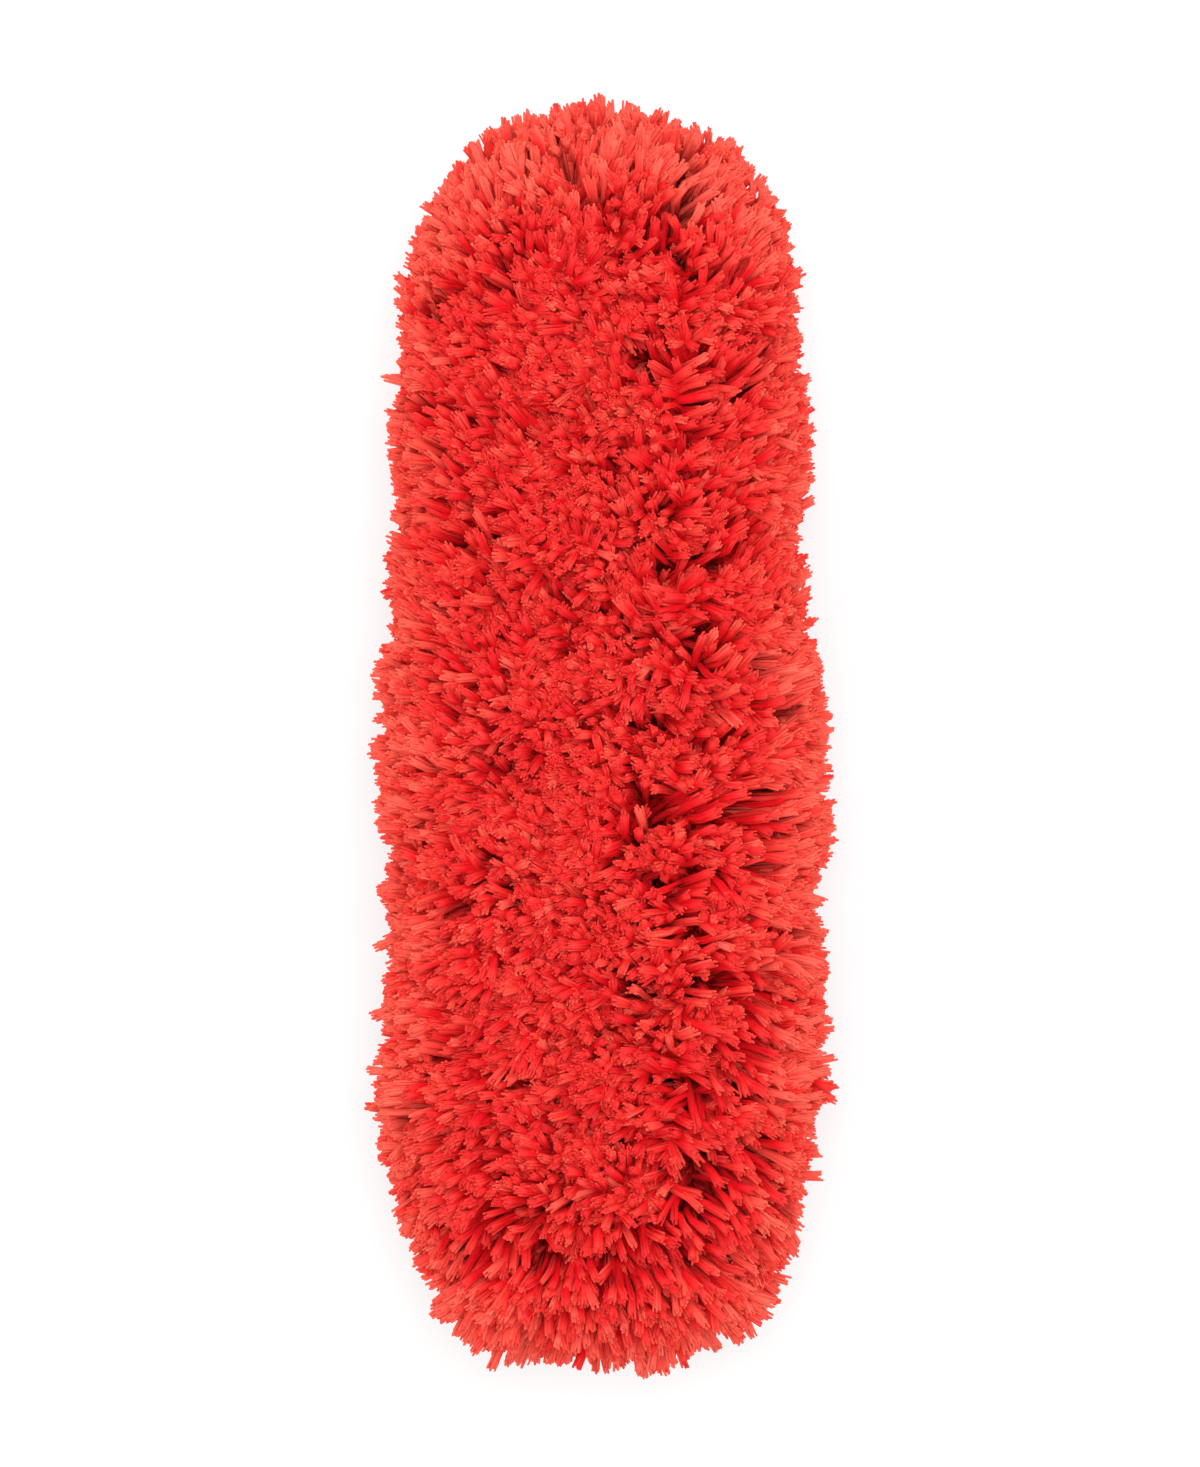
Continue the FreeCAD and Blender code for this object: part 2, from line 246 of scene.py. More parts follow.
def carried_frame(
    lines: np.ndarray, random: np.random.Generator
) -> tuple[np.ndarray, np.ndarray, np.ndarray]:
    """Directions along and across each line, carried along without twist.

    Args:
        lines: centre lines, (lines, rings, 3).
        random: source of each line's first direction.

    Returns:
        Unit directions along, across and over, each shaped like lines.
    """
    heading = np.gradient(lines, axis=1)
    heading /= np.linalg.norm(heading, axis=2, keepdims=True) + 1e-9
    guide = random.normal(size=(len(lines), 3))
    across = np.zeros_like(lines)
    for ring in range(lines.shape[1]):
        guide = guide - (guide * heading[:, ring]).sum(1, keepdims=True) * heading[:, ring]
        guide /= np.linalg.norm(guide, axis=1, keepdims=True) + 1e-9
        across[:, ring] = guide
    return heading, across, np.cross(heading, across)


class YarnMesh:
    """Turns yarn centre lines into one mesh of closed shafts and filaments."""

    def __init__(self, shape: YarnShape, seed: int) -> None:
        """Keeps the yarn's shape.

        Args:
            shape: shaft and filaments.
            seed: seed of the random lay and fray.
        """
        self.shape = shape
        self.random = np.random.default_rng(seed)

    def shafts(
        self, lines: np.ndarray, across: np.ndarray, over: np.ndarray, swell: np.ndarray
    ) -> np.ndarray:
        """Points of the shafts, ring by ring, with a middle point on each cut end.

        Args:
            lines: centre lines, (yarns, stations, 3).
            across: directions across them.
            over: directions across them, square to the first.
            swell: size factor of each yarn.

        Returns:
            Points, (yarns, rings * sides + 1, 3).
        """
        shape, random = self.shape, self.random
        count, rings = len(lines), shape.rings
        theta = 2 * math.pi * np.arange(shape.sides) / shape.sides
        twist = random.uniform(0, 2 * math.pi, (count, 1, 1))
        theta = theta + twist + 2 * math.pi * shape.turns * shape.shares[:-1, None]
        lump = 1 + shape.lumpy * random.normal(size=(count, rings, shape.sides))
        radius = shape.radii()[None, :, None] * swell[:, None, None] * lump
        wide = (radius * np.cos(theta))[..., None] * across[:, :rings, None, :]
        thin = (radius * np.sin(theta))[..., None] * over[:, :rings, None, :]
        points = lines[:, :rings, None, :] + wide + thin
        bud = 0.4 * lines[:, rings - 1] + 0.6 * lines[:, rings]
        return np.concatenate([points.reshape(count, -1, 3), bud[:, None, :]], axis=1)

    def fringes(
        self, lines: np.ndarray, heading: np.ndarray, across: np.ndarray, over: np.ndarray,
        swell: np.ndarray,
    ) -> np.ndarray:
        """Points of the filaments that stand out of each cut end.

        Args:
            lines: centre lines, (yarns, stations, 3).
            heading: directions along them.
            across: directions across them.
            over: directions across them, square to the first.
            swell: size factor of each yarn.

        Returns:
            Points, (yarns, filaments * corners, 3).
        """
        shape, random = self.shape, self.random
        count, many = len(lines), shape.filaments
        order = np.arange(many)[None, :, None]
        turn = GOLDEN_ANGLE * order + random.uniform(0, 2 * math.pi, (count, 1, 1))
        turn = turn + random.normal(0, 0.2, (count, many, 1))
        reach = np.sqrt((order + 0.8) / many) * swell[:, None, None]
        reach = reach * random.uniform(0.85, 1.15, (count, many, 1))
        longer = random.uniform(-0.8, shape.fray, (count, many, 1))
        thick = shape.filament_radius * random.uniform(0.8, 1.25, (count, many, 1))
        parts = []
        for station, width, loose in ((2, 0.80, 0.0), (4, 0.92, 0.05), (6, shape.splay, 0.14)):
            way = np.cos(turn) * across[:, None, station] + np.sin(turn) * over[:, None, station]
            row = lines[:, None, station] + way * reach * width
            row = row + random.normal(0, loose, (count, many, 3))
            if station == 6:
                row = row + heading[:, None, 6] * longer
            for corner in (0.0, 2 * math.pi / 3, 4 * math.pi / 3):
                side = np.cos(turn + corner) * across[:, None, station]
                side = side + np.sin(turn + corner) * over[:, None, station]
                parts.append(row + side * thick)
        parts.append(row + heading[:, None, 6] * 0.25)
        return np.stack(parts, axis=2).reshape(count, -1, 3)

    def faces(self) -> list[tuple[list[int], list[tuple[float, float]], bool]]:
        """Faces of one yarn: corners, places on its unrolled skin, and whether on the shaft."""
        shape = self.shape
        sides, rings = shape.sides, shape.rings
        found = []
        for ring in range(rings - 1):
            low, high = shape.stations[ring], shape.stations[ring + 1]
            for side in range(sides):
                after = (side + 1) % sides
                corners = [ring * sides + side, ring * sides + after,
                           (ring + 1) * sides + after, (ring + 1) * sides + side]
                left, right = side / sides, (side + 1) / sides
                places = [(left, low), (right, low), (right, high), (left, high)]
                found.append((corners, places, True))
        last, top = (rings - 1) * sides, shape.stations[rings - 1]
        for side in range(sides):
            corners = [last + side, last + (side + 1) % sides, rings * sides]
            left, right = side / sides, (side + 1) / sides
            places = [(left, top), (right, top), ((side + 0.5) / sides, 0.98)]
            found.append((corners, places, True))
        around = list(range(sides))[::-1]
        found.append((around, [(side / sides, 0.0) for side in around], True))
        for filament in range(shape.filaments):
            base = rings * sides + 1 + shape.corners * filament
            left = 0.37 * filament
            for corner in range(3):
                after = (corner + 1) % 3
                u, v = left + corner * 0.05, left + (corner + 1) * 0.05
                for ring, low, high in ((0, 0.42, 0.82), (3, 0.82, 0.98)):
                    start = base + ring
                    corners = [start + corner, start + after,
                               start + 3 + after, start + 3 + corner]
                    places = [(u, low), (v, low), (v, high), (u, high)]
                    found.append((corners, places, False))
                found.append(([base + 6 + corner, base + 6 + after, base + 9],
                              [(u, 0.98), (v, 0.98), ((u + v) / 2, 1.0)], False))
            found.append(([base + 2, base + 1, base], [(left, 0.42)] * 3, False))
        return found

    def build(
        self, name: str, yarns: np.ndarray, shade: np.ndarray, swell: np.ndarray
    ) -> bpy.types.Object:
        """Makes the mesh object.

        Args:
            name: the piece's name.
            yarns: centre lines in millimetres, (yarns, stations, 3).
            shade: one value from 0 to 1 for each yarn: random tone, plus painted light toward the
                sleeve's edges.
            swell: size factor of each yarn.

        Returns:
            The new object, in metres.
        """
        shape, count = self.shape, len(yarns)
        heading, across, over = carried_frame(yarns, self.random)
        verts = np.concatenate([
            self.shafts(yarns, across, over, swell),
            self.fringes(yarns, heading, across, over, swell),
        ], axis=1)
        verts = verts.reshape(-1, 3) * MM
        verts[:, 2] = np.maximum(verts[:, 2], shape.floor_gap * MM)
        faces = self.faces()
        loops = np.concatenate([corners for corners, _, _ in faces])
        totals = np.tile([len(corners) for corners, _, _ in faces], count)
        loops = (np.arange(count)[:, None] * shape.block + loops[None, :]).ravel()
        mesh = bpy.data.meshes.new(name)
        mesh.vertices.add(len(verts))
        mesh.vertices.foreach_set("co", verts.astype(np.float32).ravel())
        mesh.loops.add(len(loops))
        mesh.loops.foreach_set("vertex_index", loops.astype(np.int32))
        mesh.polygons.add(len(totals))
        starts = np.concatenate([[0], np.cumsum(totals)[:-1]])
        mesh.polygons.foreach_set("loop_start", starts.astype(np.int32))
        mesh.polygons.foreach_set("use_smooth", np.ones(len(totals), dtype=bool))
        mesh.update(calc_edges=True)
        self.lay_out(mesh, faces, count)
        self.tint(mesh, shade)
        mesh.validate()
        piece = bpy.data.objects.new(name, mesh)
        bpy.context.scene.collection.objects.link(piece)
        return piece

    def tint(self, mesh: bpy.types.Mesh, shade: np.ndarray) -> None:
        """Stores each yarn's shade value, random tone plus painted light toward the sleeve's
        edges, with slight differences between its filaments.

        Args:
            mesh: the mesh of all the yarns.
            shade: one value from 0 to 1 for each yarn.
        """
        shape, count = self.shape, len(shade)
        body = np.repeat(shade[:, None], shape.rings * shape.sides + 1, axis=1)
        fringe = shade[:, None] + self.random.normal(0.02, 0.09, (count, shape.filaments))
        every = np.concatenate([body, np.repeat(fringe, shape.corners, axis=1)], axis=1)
        tone_and_edge_light = mesh.attributes.new("yarn_shade", "FLOAT", "POINT")
        tone_and_edge_light.data.foreach_set("value", np.clip(every, 0, 1).astype(np.float32).ravel())

    def lay_out(
        self, mesh: bpy.types.Mesh,
        faces: list[tuple[list[int], list[tuple[float, float]], bool]], count: int,
    ) -> None:
        """Adds two UV maps: one for the yarn's own grain, one with a cell for each yarn.

        Args:
            mesh: the mesh of all the yarns.
            faces: one yarn's faces.
            count: number of yarns.
        """
        grain = np.array([place for _, places, _ in faces for place in places])
        shaft = np.array([on for _, places, on in faces for _ in places])
        strip = np.where(shaft, 0.04 + 0.56 * grain[:, 0], 0.66 + 0.28 * (grain[:, 0] % 1.0))
        cell = np.stack([strip, 0.04 + 0.92 * grain[:, 1]], axis=1)
        grid = math.ceil(math.sqrt(count))
        index = np.arange(count)
        corner = np.stack([index % grid, index // grid], axis=1)[:, None, :]
        shift = np.stack([self.random.uniform(0, 40, count), np.zeros(count)], axis=1)[:, None, :]
        for label, every in (("YarnGrain", grain + shift), ("OFBake", (corner + cell) / grid)):
            layer = mesh.uv_layers.new(name=label)
            layer.data.foreach_set("uv", every.astype(np.float32).ravel())


@dataclass(frozen=True)
class Finish:
    """Base of the finishes: makes a node material and gives short ways to add nodes."""

    name: str

    def start(self) -> tuple[bpy.types.Material, bpy.types.NodeTree, bpy.types.Node]:
        """New node material with its Principled shader."""
        material = bpy.data.materials.new(self.name)
        material.use_nodes = True
        tree = material.node_tree
        return material, tree, tree.nodes["Principled BSDF"]

    @staticmethod
    def node(tree: bpy.types.NodeTree, kind: str, **settings: object) -> bpy.types.Node:
        """Adds a node.

        Args:
            tree: the material's nodes.
            kind: the node's type name.
            settings: properties to set, or input sockets by name.

        Returns:
            The new node.
        """
        made = tree.nodes.new(kind)
        for key, value in settings.items():
            if key in made.inputs:
                made.inputs[key].default_value = value
            else:
                setattr(made, key, value)
        return made

    def ramp(
        self, tree: bpy.types.NodeTree, source: bpy.types.NodeSocket,
        stops: tuple[tuple[float, tuple[float, float, float, float]], ...],
    ) -> bpy.types.NodeSocket:
        """Colour ramp over a value.

        Args:
            tree: the material's nodes.
            source: the value that drives it.
            stops: positions and colours, in order.

        Returns:
            The ramp's colour output.
        """
        ramp = self.node(tree, "ShaderNodeValToRGB")
        while len(ramp.color_ramp.elements) < len(stops):
            ramp.color_ramp.elements.new(0.5)
        for element, (position, colour) in zip(ramp.color_ramp.elements, stops):
            element.position = position
            element.color = colour
        tree.links.new(source, ramp.inputs["Fac"])
        return ramp.outputs["Color"]

    def blend(
        self, tree: bpy.types.NodeTree, mode: str, factor: "float | bpy.types.NodeSocket",
        first: bpy.types.NodeSocket, second: "tuple | bpy.types.NodeSocket",
    ) -> bpy.types.NodeSocket:
        """Mixes two colours.

        Args:
            tree: the material's nodes.
            mode: MIX, MULTIPLY, SCREEN and so on.
            factor: share of the second colour.
            first: first colour.
            second: second colour.

        Returns:
            The mixed colour.
        """
        mix = self.node(tree, "ShaderNodeMix", data_type="RGBA", blend_type=mode)
        for index, value in ((0, factor), (6, first), (7, second)):
            socket = mix.inputs[index]
            if isinstance(value, bpy.types.NodeSocket):
                tree.links.new(value, socket)
            else:
                socket.default_value = value
        return mix.outputs[2]

    @staticmethod
    def constants(shader: bpy.types.Node, values: dict[str, object]) -> None:
        """Sets what is the same all over the surface on the shader's own sockets."""
        for socket, value in values.items():
            shader.inputs[socket].default_value = value

    def relief(
        self, tree: bpy.types.NodeTree, shader: bpy.types.Node, height: bpy.types.NodeSocket,
        strength: float, distance: float,
    ) -> None:
        """Gives the surface fine relief.

        Args:
            tree: the material's nodes.
            shader: the shader that shows it.
            height: the pattern that rises.
            strength: how strongly it shows.
            distance: its height in metres.
        """
        bump = self.node(tree, "ShaderNodeBump", Strength=strength, Distance=distance)
        tree.links.new(height, bump.inputs["Height"])
        tree.links.new(bump.outputs["Normal"], shader.inputs["Normal"])


@dataclass(frozen=True)
class YarnFinish(Finish):
    """Soft microfibre yarn: fine lengthwise filaments, deep red, with a painted highlight at the
    cut end and on the brightest streaks, and painted light on the yarns toward the sleeve's edges.
    """

    root: tuple[int, int, int] = (255, 34, 44)
    shaft: tuple[int, int, int] = (252, 28, 38)
    tip: tuple[int, int, int] = (238, 40, 40)
    # pale: colour of the painted highlight at the cut end and on the brightest streaks
    pale: tuple[int, int, int] = (245, 82, 64)
    # pale_and_highlight: pale coral of the painted highlight on yarns toward the edges, and of
    # some yarns paler at random
    pale_and_highlight: tuple[int, int, int] = (248, 114, 97)

    def make(self) -> bpy.types.Material:
        """Builds the material."""
        material, tree, shader = self.start()
        grain = self.node(tree, "ShaderNodeUVMap", uv_map="YarnGrain")
        split = self.node(tree, "ShaderNodeSeparateXYZ")
        tree.links.new(grain.outputs["UV"], split.inputs["Vector"])
        # Deep red along the yarn, turning at the cut end to the pale coral of a painted highlight.
        along = self.ramp(tree, split.outputs["Y"], (
            (0.0, linear(*self.root)),
            (0.55, linear(*self.shaft)),
            (0.86, linear(*self.tip)),
            (1.0, linear(*self.pale)),
        ))
        stretch = self.node(tree, "ShaderNodeMapping")
        stretch.inputs["Scale"].default_value = (7.0, 1.2, 1.0)
        tree.links.new(grain.outputs["UV"], stretch.inputs["Vector"])
        strands = self.node(
            tree, "ShaderNodeTexNoise", Scale=2.0, Detail=3.0, Roughness=0.65, Distortion=0.25
        )
        tree.links.new(stretch.outputs["Vector"], strands.inputs["Vector"])
        streaks = self.ramp(tree, strands.outputs["Fac"], (
            (0.34, (0.97, 0.55, 0.6, 1)),
            (0.60, WHITE),
        ))
        colour = self.blend(tree, "MULTIPLY", 0.48, along, streaks)
        # Painted highlight: the brightest lengthwise streaks mix toward the pale coral, as glints.
        glint = self.ramp(tree, strands.outputs["Fac"], ((0.56, BLACK), (0.74, WHITE)))
        paler = self.blend(tree, "MIX", glint, colour, linear(*self.pale))
        colour = self.blend(tree, "MIX", 0.45, colour, paler)
        tone_and_edge_light = self.node(tree, "ShaderNodeAttribute", attribute_name="yarn_shade")
        # Deeper red for yarns with a low shade value: random tone, and painted shade on the middle
        # of the sleeve, whose yarns carry lower values than the painted-light edges.
        level = self.ramp(tree, tone_and_edge_light.outputs["Fac"], (
            (0.0, (0.82, 0.36, 0.66, 1)),
            (0.45, (0.92, 0.68, 0.94, 1)),
            (0.9, (0.98, 1.0, 1.0, 1)),
        ))
        colour = self.blend(tree, "MULTIPLY", 1.0, colour, level)
        # Painted highlight: yarns with a high shade value, mostly toward the sides and the closed
        # end, mix toward pale coral; some middle yarns get it at random.
        paling_and_highlight = self.ramp(tree, tone_and_edge_light.outputs["Fac"], (
            (0.5, BLACK),
            (1.0, (0.7, 0.7, 0.7, 1)),
        ))
        colour = self.blend(tree, "MIX", paling_and_highlight, colour, linear(*self.pale_and_highlight))
        tree.links.new(colour, shader.inputs["Base Color"])
        self.constants(shader, {
            "Roughness": 0.78, "Specular IOR Level": 0.0, "Sheen Weight": 0.05,
            "Sheen Roughness": 0.4, "Sheen Tint": linear(255, 170, 150),
        })
        self.relief(tree, shader, strands.outputs["Fac"], 0.6, 0.0003)
        return material


@dataclass(frozen=True)
class ClothFinish(Finish):
    """Plain-woven cloth: crossing threads with slight colour variation."""

    light: tuple[int, int, int] = (226, 30, 36)
    dark: tuple[int, int, int] = (178, 14, 24)
    threads_per_metre: float = 1600.0

    def make(self) -> bpy.types.Material:
        """Builds the material."""
        material, tree, shader = self.start()
        place = self.node(tree, "ShaderNodeTexCoord")
        waves = []
        for direction in ("X", "Y"):
            wave = self.node(
                tree, "ShaderNodeTexWave", bands_direction=direction,
                Scale=self.threads_per_metre / 20, Distortion=0.3,
            )
            tree.links.new(place.outputs["Object"], wave.inputs["Vector"])
            waves.append(wave.outputs["Fac"])
        weave = self.node(tree, "ShaderNodeMath", operation="MULTIPLY")
        for socket, wave in zip(weave.inputs, waves):
            tree.links.new(wave, socket)
        colour = self.ramp(tree, weave.outputs[0], (
            (0.05, linear(*self.dark)),
            (0.6, linear(*self.light)),
        ))
        mottle = self.node(tree, "ShaderNodeTexNoise", Scale=90.0, Detail=4.0)
        tree.links.new(place.outputs["Object"], mottle.inputs["Vector"])
        shade = self.ramp(tree, mottle.outputs["Fac"], (
            (0.3, (0.75, 0.75, 0.75, 1)),
            (0.7, WHITE),
        ))
        colour = self.blend(tree, "MULTIPLY", 1.0, colour, shade)
        tree.links.new(colour, shader.inputs["Base Color"])
        self.constants(shader, {
            "Roughness": 0.9, "Specular IOR Level": 0.05, "Sheen Weight": 0.08,
            "Sheen Tint": linear(255, 120, 110),
        })
        self.relief(tree, shader, weave.outputs[0], 0.5, 0.0003)
        return material


@dataclass(frozen=True)
class FloorFinish(Finish):
    """Pale matt floor that shows as near white and keeps the sleeve's soft shadow."""

    def make(self) -> bpy.types.Material:
        """Builds the material."""
        material, tree, shader = self.start()
        self.constants(shader, {
            "Base Color": (0.86, 0.86, 0.86, 1), "Roughness": 0.95, "Specular IOR Level": 0.0,
        })
        glow = self.node(tree, "ShaderNodeEmission", Strength=1.0, Color=WHITE)
        rays = self.node(tree, "ShaderNodeLightPath")
        share = self.node(tree, "ShaderNodeMath", operation="MULTIPLY")
        share.inputs[1].default_value = 0.6
        tree.links.new(rays.outputs["Is Camera Ray"], share.inputs[0])
        mix = self.node(tree, "ShaderNodeMixShader")
        tree.links.new(share.outputs[0], mix.inputs["Fac"])
        tree.links.new(shader.outputs["BSDF"], mix.inputs[1])
        tree.links.new(glow.outputs["Emission"], mix.inputs[2])
        tree.links.new(mix.outputs["Shader"], tree.nodes["Material Output"].inputs["Surface"])
        return material


@dataclass(frozen=True)
class Fan:
    """Spread of a row's yarns across the row, in degrees from upright; positive leans outward."""

    inner: float
    outer: float

    def at(self, share: np.ndarray) -> np.ndarray:
        """Lean at each share of the fan."""
        return self.inner + (self.outer - self.inner) * share


@dataclass(frozen=True)
class Parting:
    """Stretch where brushed pile parts: a row's yarns on one side of the sleeve turn away.

    Places along the sleeve in millimetres; a positive turn, in degrees, leans outward.
    """

    row: str
    side: int
    low: float
    high: float
    turn: float

    def lean(self, point: np.ndarray, share: np.ndarray) -> np.ndarray:
        """Extra lean of the row's yarns.

        Args:
            point: each yarn's place on the row.
            share: each yarn's share of the row's fan, 0 at its inner side.

        Returns:
            Degrees to add, most for the yarns that stand nearest the parting.
        """
        rise = 1 / (1 + np.exp((self.low - point[:, 1]) / 5))
        fall = 1 / (1 + np.exp((point[:, 1] - self.high) / 5))
        near = 1 - share if self.turn > 0 else share
        return self.turn * rise * fall * near * (point[:, 0] * self.side > 2)


PARTINGS = (
    Parting("top_outer", 1, -66.0, 106.0, 9.0),
    Parting("top_inner", 1, -66.0, 106.0, -6.0),
    Parting("top_outer", -1, -120.0, 8.0, 20.0),
    Parting("top_inner", -1, -120.0, 8.0, -16.0),
    Parting("top_inner", -1, 60.0, 82.0, -14.0),
)


@dataclass
class Strands:
    """Centre lines of many yarns, in millimetres, with a shade value and a size for each; the
    shade value is random tone plus painted light toward the sleeve's edges.
    """

    lines: np.ndarray
    shade: np.ndarray
    swell: np.ndarray


@dataclass(frozen=True)
class PileRow:
    """One sewn row of yarn pile.

    Lengths in millimetres, leans in degrees. The right and left fans differ, so the pile
    parts off-centre, as brushed pile does.
    """

    name: str
    face: Face
    radius: float
    mouth_angle: float
    right: Fan
    left: Fan
    pile_length: float
    per_mm: float
    seed: int
    flop: float = 1.0
    lay_over: float = 0.0
    stray: float = 1.0

    def strands(self, outline: Outline, level: float) -> Strands:
        """Lays the row's yarns.

        Args:
            outline: the sleeve's outline.
            level: height of the row's tape.

        Returns:
            The yarns' centre lines.
        """
        random = np.random.default_rng(self.seed)
        angle = math.radians(self.mouth_angle)
        total = outline.length(self.radius, angle)
        count = int(total * self.per_mm)
        along = (np.arange(count) + random.uniform(0, 1, count)) * total / count
        share = (np.arange(count) * GOLDEN_SHARE + random.normal(0, 0.02, count)) % 1.0
        point, normal = outline.place(along, self.radius, angle)
        weight = np.clip(0.5 + normal[:, 0] * 0.9, 0, 1)
        lean = self.left.at(share) * (1 - weight) + self.right.at(share) * weight
        for parting in PARTINGS:
            if parting.row == self.name:
                lean += parting.lean(point, share)
        clump = TuftField(random, total, self.stray)
        return clump.grow(self, outline, along, share, point, normal, lean, level)


class TuftField:
    """Gathers neighbouring yarns into tufts that lean together."""

    PITCH = 8.5
    FAN_STEPS = 3.0
    MOST_BANDS = 8
    COMBED = 18.0
    TUFT_LEAN, TUFT_SWAY, TUFT_TURN = 8.0, 12.0, 40.0
    FLOP, FLOP_SPREAD = 46.0, 10.0
    TUFT_SIZE = 0.05
    YARN_LEAN, YARN_FLOP, YARN_TURN = 5.5, 6.5, 19.0
    YARN_LENGTH, YARN_SWELL = 0.045, 0.1
    SHORT_SHARE = 0.2
    ROW_HALF_WIDTH = 2.0
    # EDGE_SHADE is painted light: it raises the shade value, so the colour pales, of yarns whose
    # tips lie toward the sleeve's edges.
    SHADE, EDGE_SHADE, SHADE_SPREAD = 0.40, 0.46, 0.17

    def __init__(self, random: np.random.Generator, total: float, stray: float) -> None:
        """Draws the tufts' own leans.

        Args:
            random: the row's random source.
            total: length of the row.
            stray: how far tufts and yarns stray from the row's fan.
        """
        self.random = random
        self.stray = stray
        self.columns = max(3, round(total / self.PITCH))
        self.pitch = total / self.columns
        shape = (self.columns + 1, self.MOST_BANDS)
        self.lean = random.normal(0, self.TUFT_LEAN * stray, shape)
        self.sway = random.normal(0, self.TUFT_SWAY * stray, shape)
        self.flop = random.normal(self.FLOP, self.FLOP_SPREAD, shape)
        self.flop_turn = random.normal(0, self.TUFT_TURN * stray, shape)
        self.middle = random.uniform(0.25, 0.75, shape)
        self.size = random.normal(1.0, self.TUFT_SIZE, shape)

    def grow(
        self, row: PileRow, outline: Outline, along: np.ndarray, share: np.ndarray,
        point: np.ndarray, normal: np.ndarray, lean: np.ndarray, level: float,
    ) -> Strands:
        """Grows the yarns of a row.

        Args:
            row: the row.
            outline: the sleeve's outline.
            along: each yarn's distance along the row.
            share: each yarn's share of the fan.
            point: each yarn's place on the row.
            normal: outward direction there.
            lean: each yarn's lean in degrees.
            level: height of the row's tape.

        Returns:
            The yarns.
        """
        random = self.random
        count = len(along)
        shares = YarnShape().shares
        rings = len(shares)
        band = np.clip((share * self.FAN_STEPS).astype(int), 0, self.MOST_BANDS - 1)
        place = along / self.pitch + (band % 2) * 0.5 + random.normal(0, 0.2, count)
        column = np.clip(place.astype(int), 0, self.columns)
        tuft = (column, band)
        centre = (column - (band % 2) * 0.5 + self.middle[tuft]) * self.pitch
        pull = np.clip(centre - along, -4, 4)
        loose = self.YARN_LEAN * self.stray
        lean = lean + self.lean[tuft] + random.normal(0, loose, count)
        sway = self.sway[tuft] + pull * 1.2 + random.normal(0, loose, count)
        flop = self.flop[tuft] + random.normal(0, self.YARN_FLOP, count)
        flop = np.clip(flop, 5, 70) * row.flop
        flop = flop * (1 - 0.75 * np.clip(np.abs(lean) / 80, 0, 1))
        flop_turn = self.flop_turn[tuft] + random.normal(0, self.YARN_TURN, count)
        flop_turn = np.radians(flop_turn)
        outward = np.sign(lean + row.lay_over * np.where(normal[:, 0] > 0.5, -1, 1) + 1e-6)
        comb = self.COMBED * np.clip((point[:, 1] + 50) / 80, -0.7, 1) * normal[:, 0]
        sway = sway + 0.5 * comb
        end_lean = lean * 1.05 + flop * np.cos(flop_turn) * outward
        end_sway = sway + flop * np.sin(flop_turn) + comb
        length = row.pile_length * self.size[tuft] * random.normal(1.0, self.YARN_LENGTH, count)
        short = random.uniform(size=count) < self.SHORT_SHARE
        length *= np.where(short, random.uniform(0.6, 0.85, count), 1.0)
        if row.face is Face.RIM:
            length *= 1 + 0.14 * np.sin(np.radians(np.clip(np.abs(lean), 0, 60)) * 1.5)
        bend = shares[None, :] ** 1.8
        leans = np.radians(lean[:, None] * (1 - bend) + end_lean[:, None] * bend)
        sways = np.radians(sway[:, None] * (1 - bend) + end_sway[:, None] * bend)
        tangent = np.stack([-normal[:, 1], normal[:, 0]], axis=1)
        up, out = np.cos(leans) * np.cos(sways), np.sin(leans) * np.cos(sways)
        if row.face is Face.RIM:
            up, out = out, up
        if row.face is Face.UNDER:
            up = -up
        side = np.sin(sways)
        step = np.empty((count, rings, 3))
        step[..., :2] = out[..., None] * normal[:, None, :]
        step[..., :2] += side[..., None] * tangent[:, None, :]
        step[..., 2] = up
        step = 0.5 * (step[:, 1:] + step[:, :-1]) * np.diff(shares)[None, :, None]
        step *= length[:, None, None]
        lines = np.concatenate([np.zeros((count, 1, 3)), np.cumsum(step, axis=1)], axis=1)
        lines[..., :2] += point[:, None, :]
        spread = random.uniform(-self.ROW_HALF_WIDTH, self.ROW_HALF_WIDTH, count)
        if row.face is Face.RIM:
            lines[..., 2] += level + spread[:, None]
        else:
            lines[..., :2] += (spread[:, None] * normal)[:, None, :]
            lines[..., 2] += level
        lines += self.waves(count, shares)
        self.fit(outline, lines)
        tip = lines[:, -1]
        # Painted light: yarns whose tips lie toward the sides and past the closed end get a higher
        # shade value, so they come out paler coral.
        past = np.clip(np.abs(tip[:, 1]) - outline.arc_centre, 0, None)
        outer = np.hypot(tip[:, 0], past) / outline.half_width
        outer += 0.3 * np.clip((tip[:, 1] - outline.arc_centre) / 40, 0, 1)
        shade = self.SHADE + self.EDGE_SHADE * np.clip((outer - 0.60) / 0.36, 0, 1) ** 1.5
        return Strands(
            lines=lines,
            shade=np.clip(shade + random.normal(0, self.SHADE_SPREAD, count), 0, 1),
            swell=random.normal(1.0, self.YARN_SWELL, count),
        )

    def waves(self, count: int, shares: np.ndarray) -> np.ndarray:
        """Slight waviness of each yarn, none at its root."""
        share = shares[None, :, None]
        phase = self.random.uniform(0, 2 * math.pi, (count, 1, 3))
        turns = self.random.uniform(0.6, 1.5, (count, 1, 3))
        size = self.random.uniform(0.4, 1.7, (count, 1, 3))
        return size * share * np.sin(2 * math.pi * turns * share + phase)

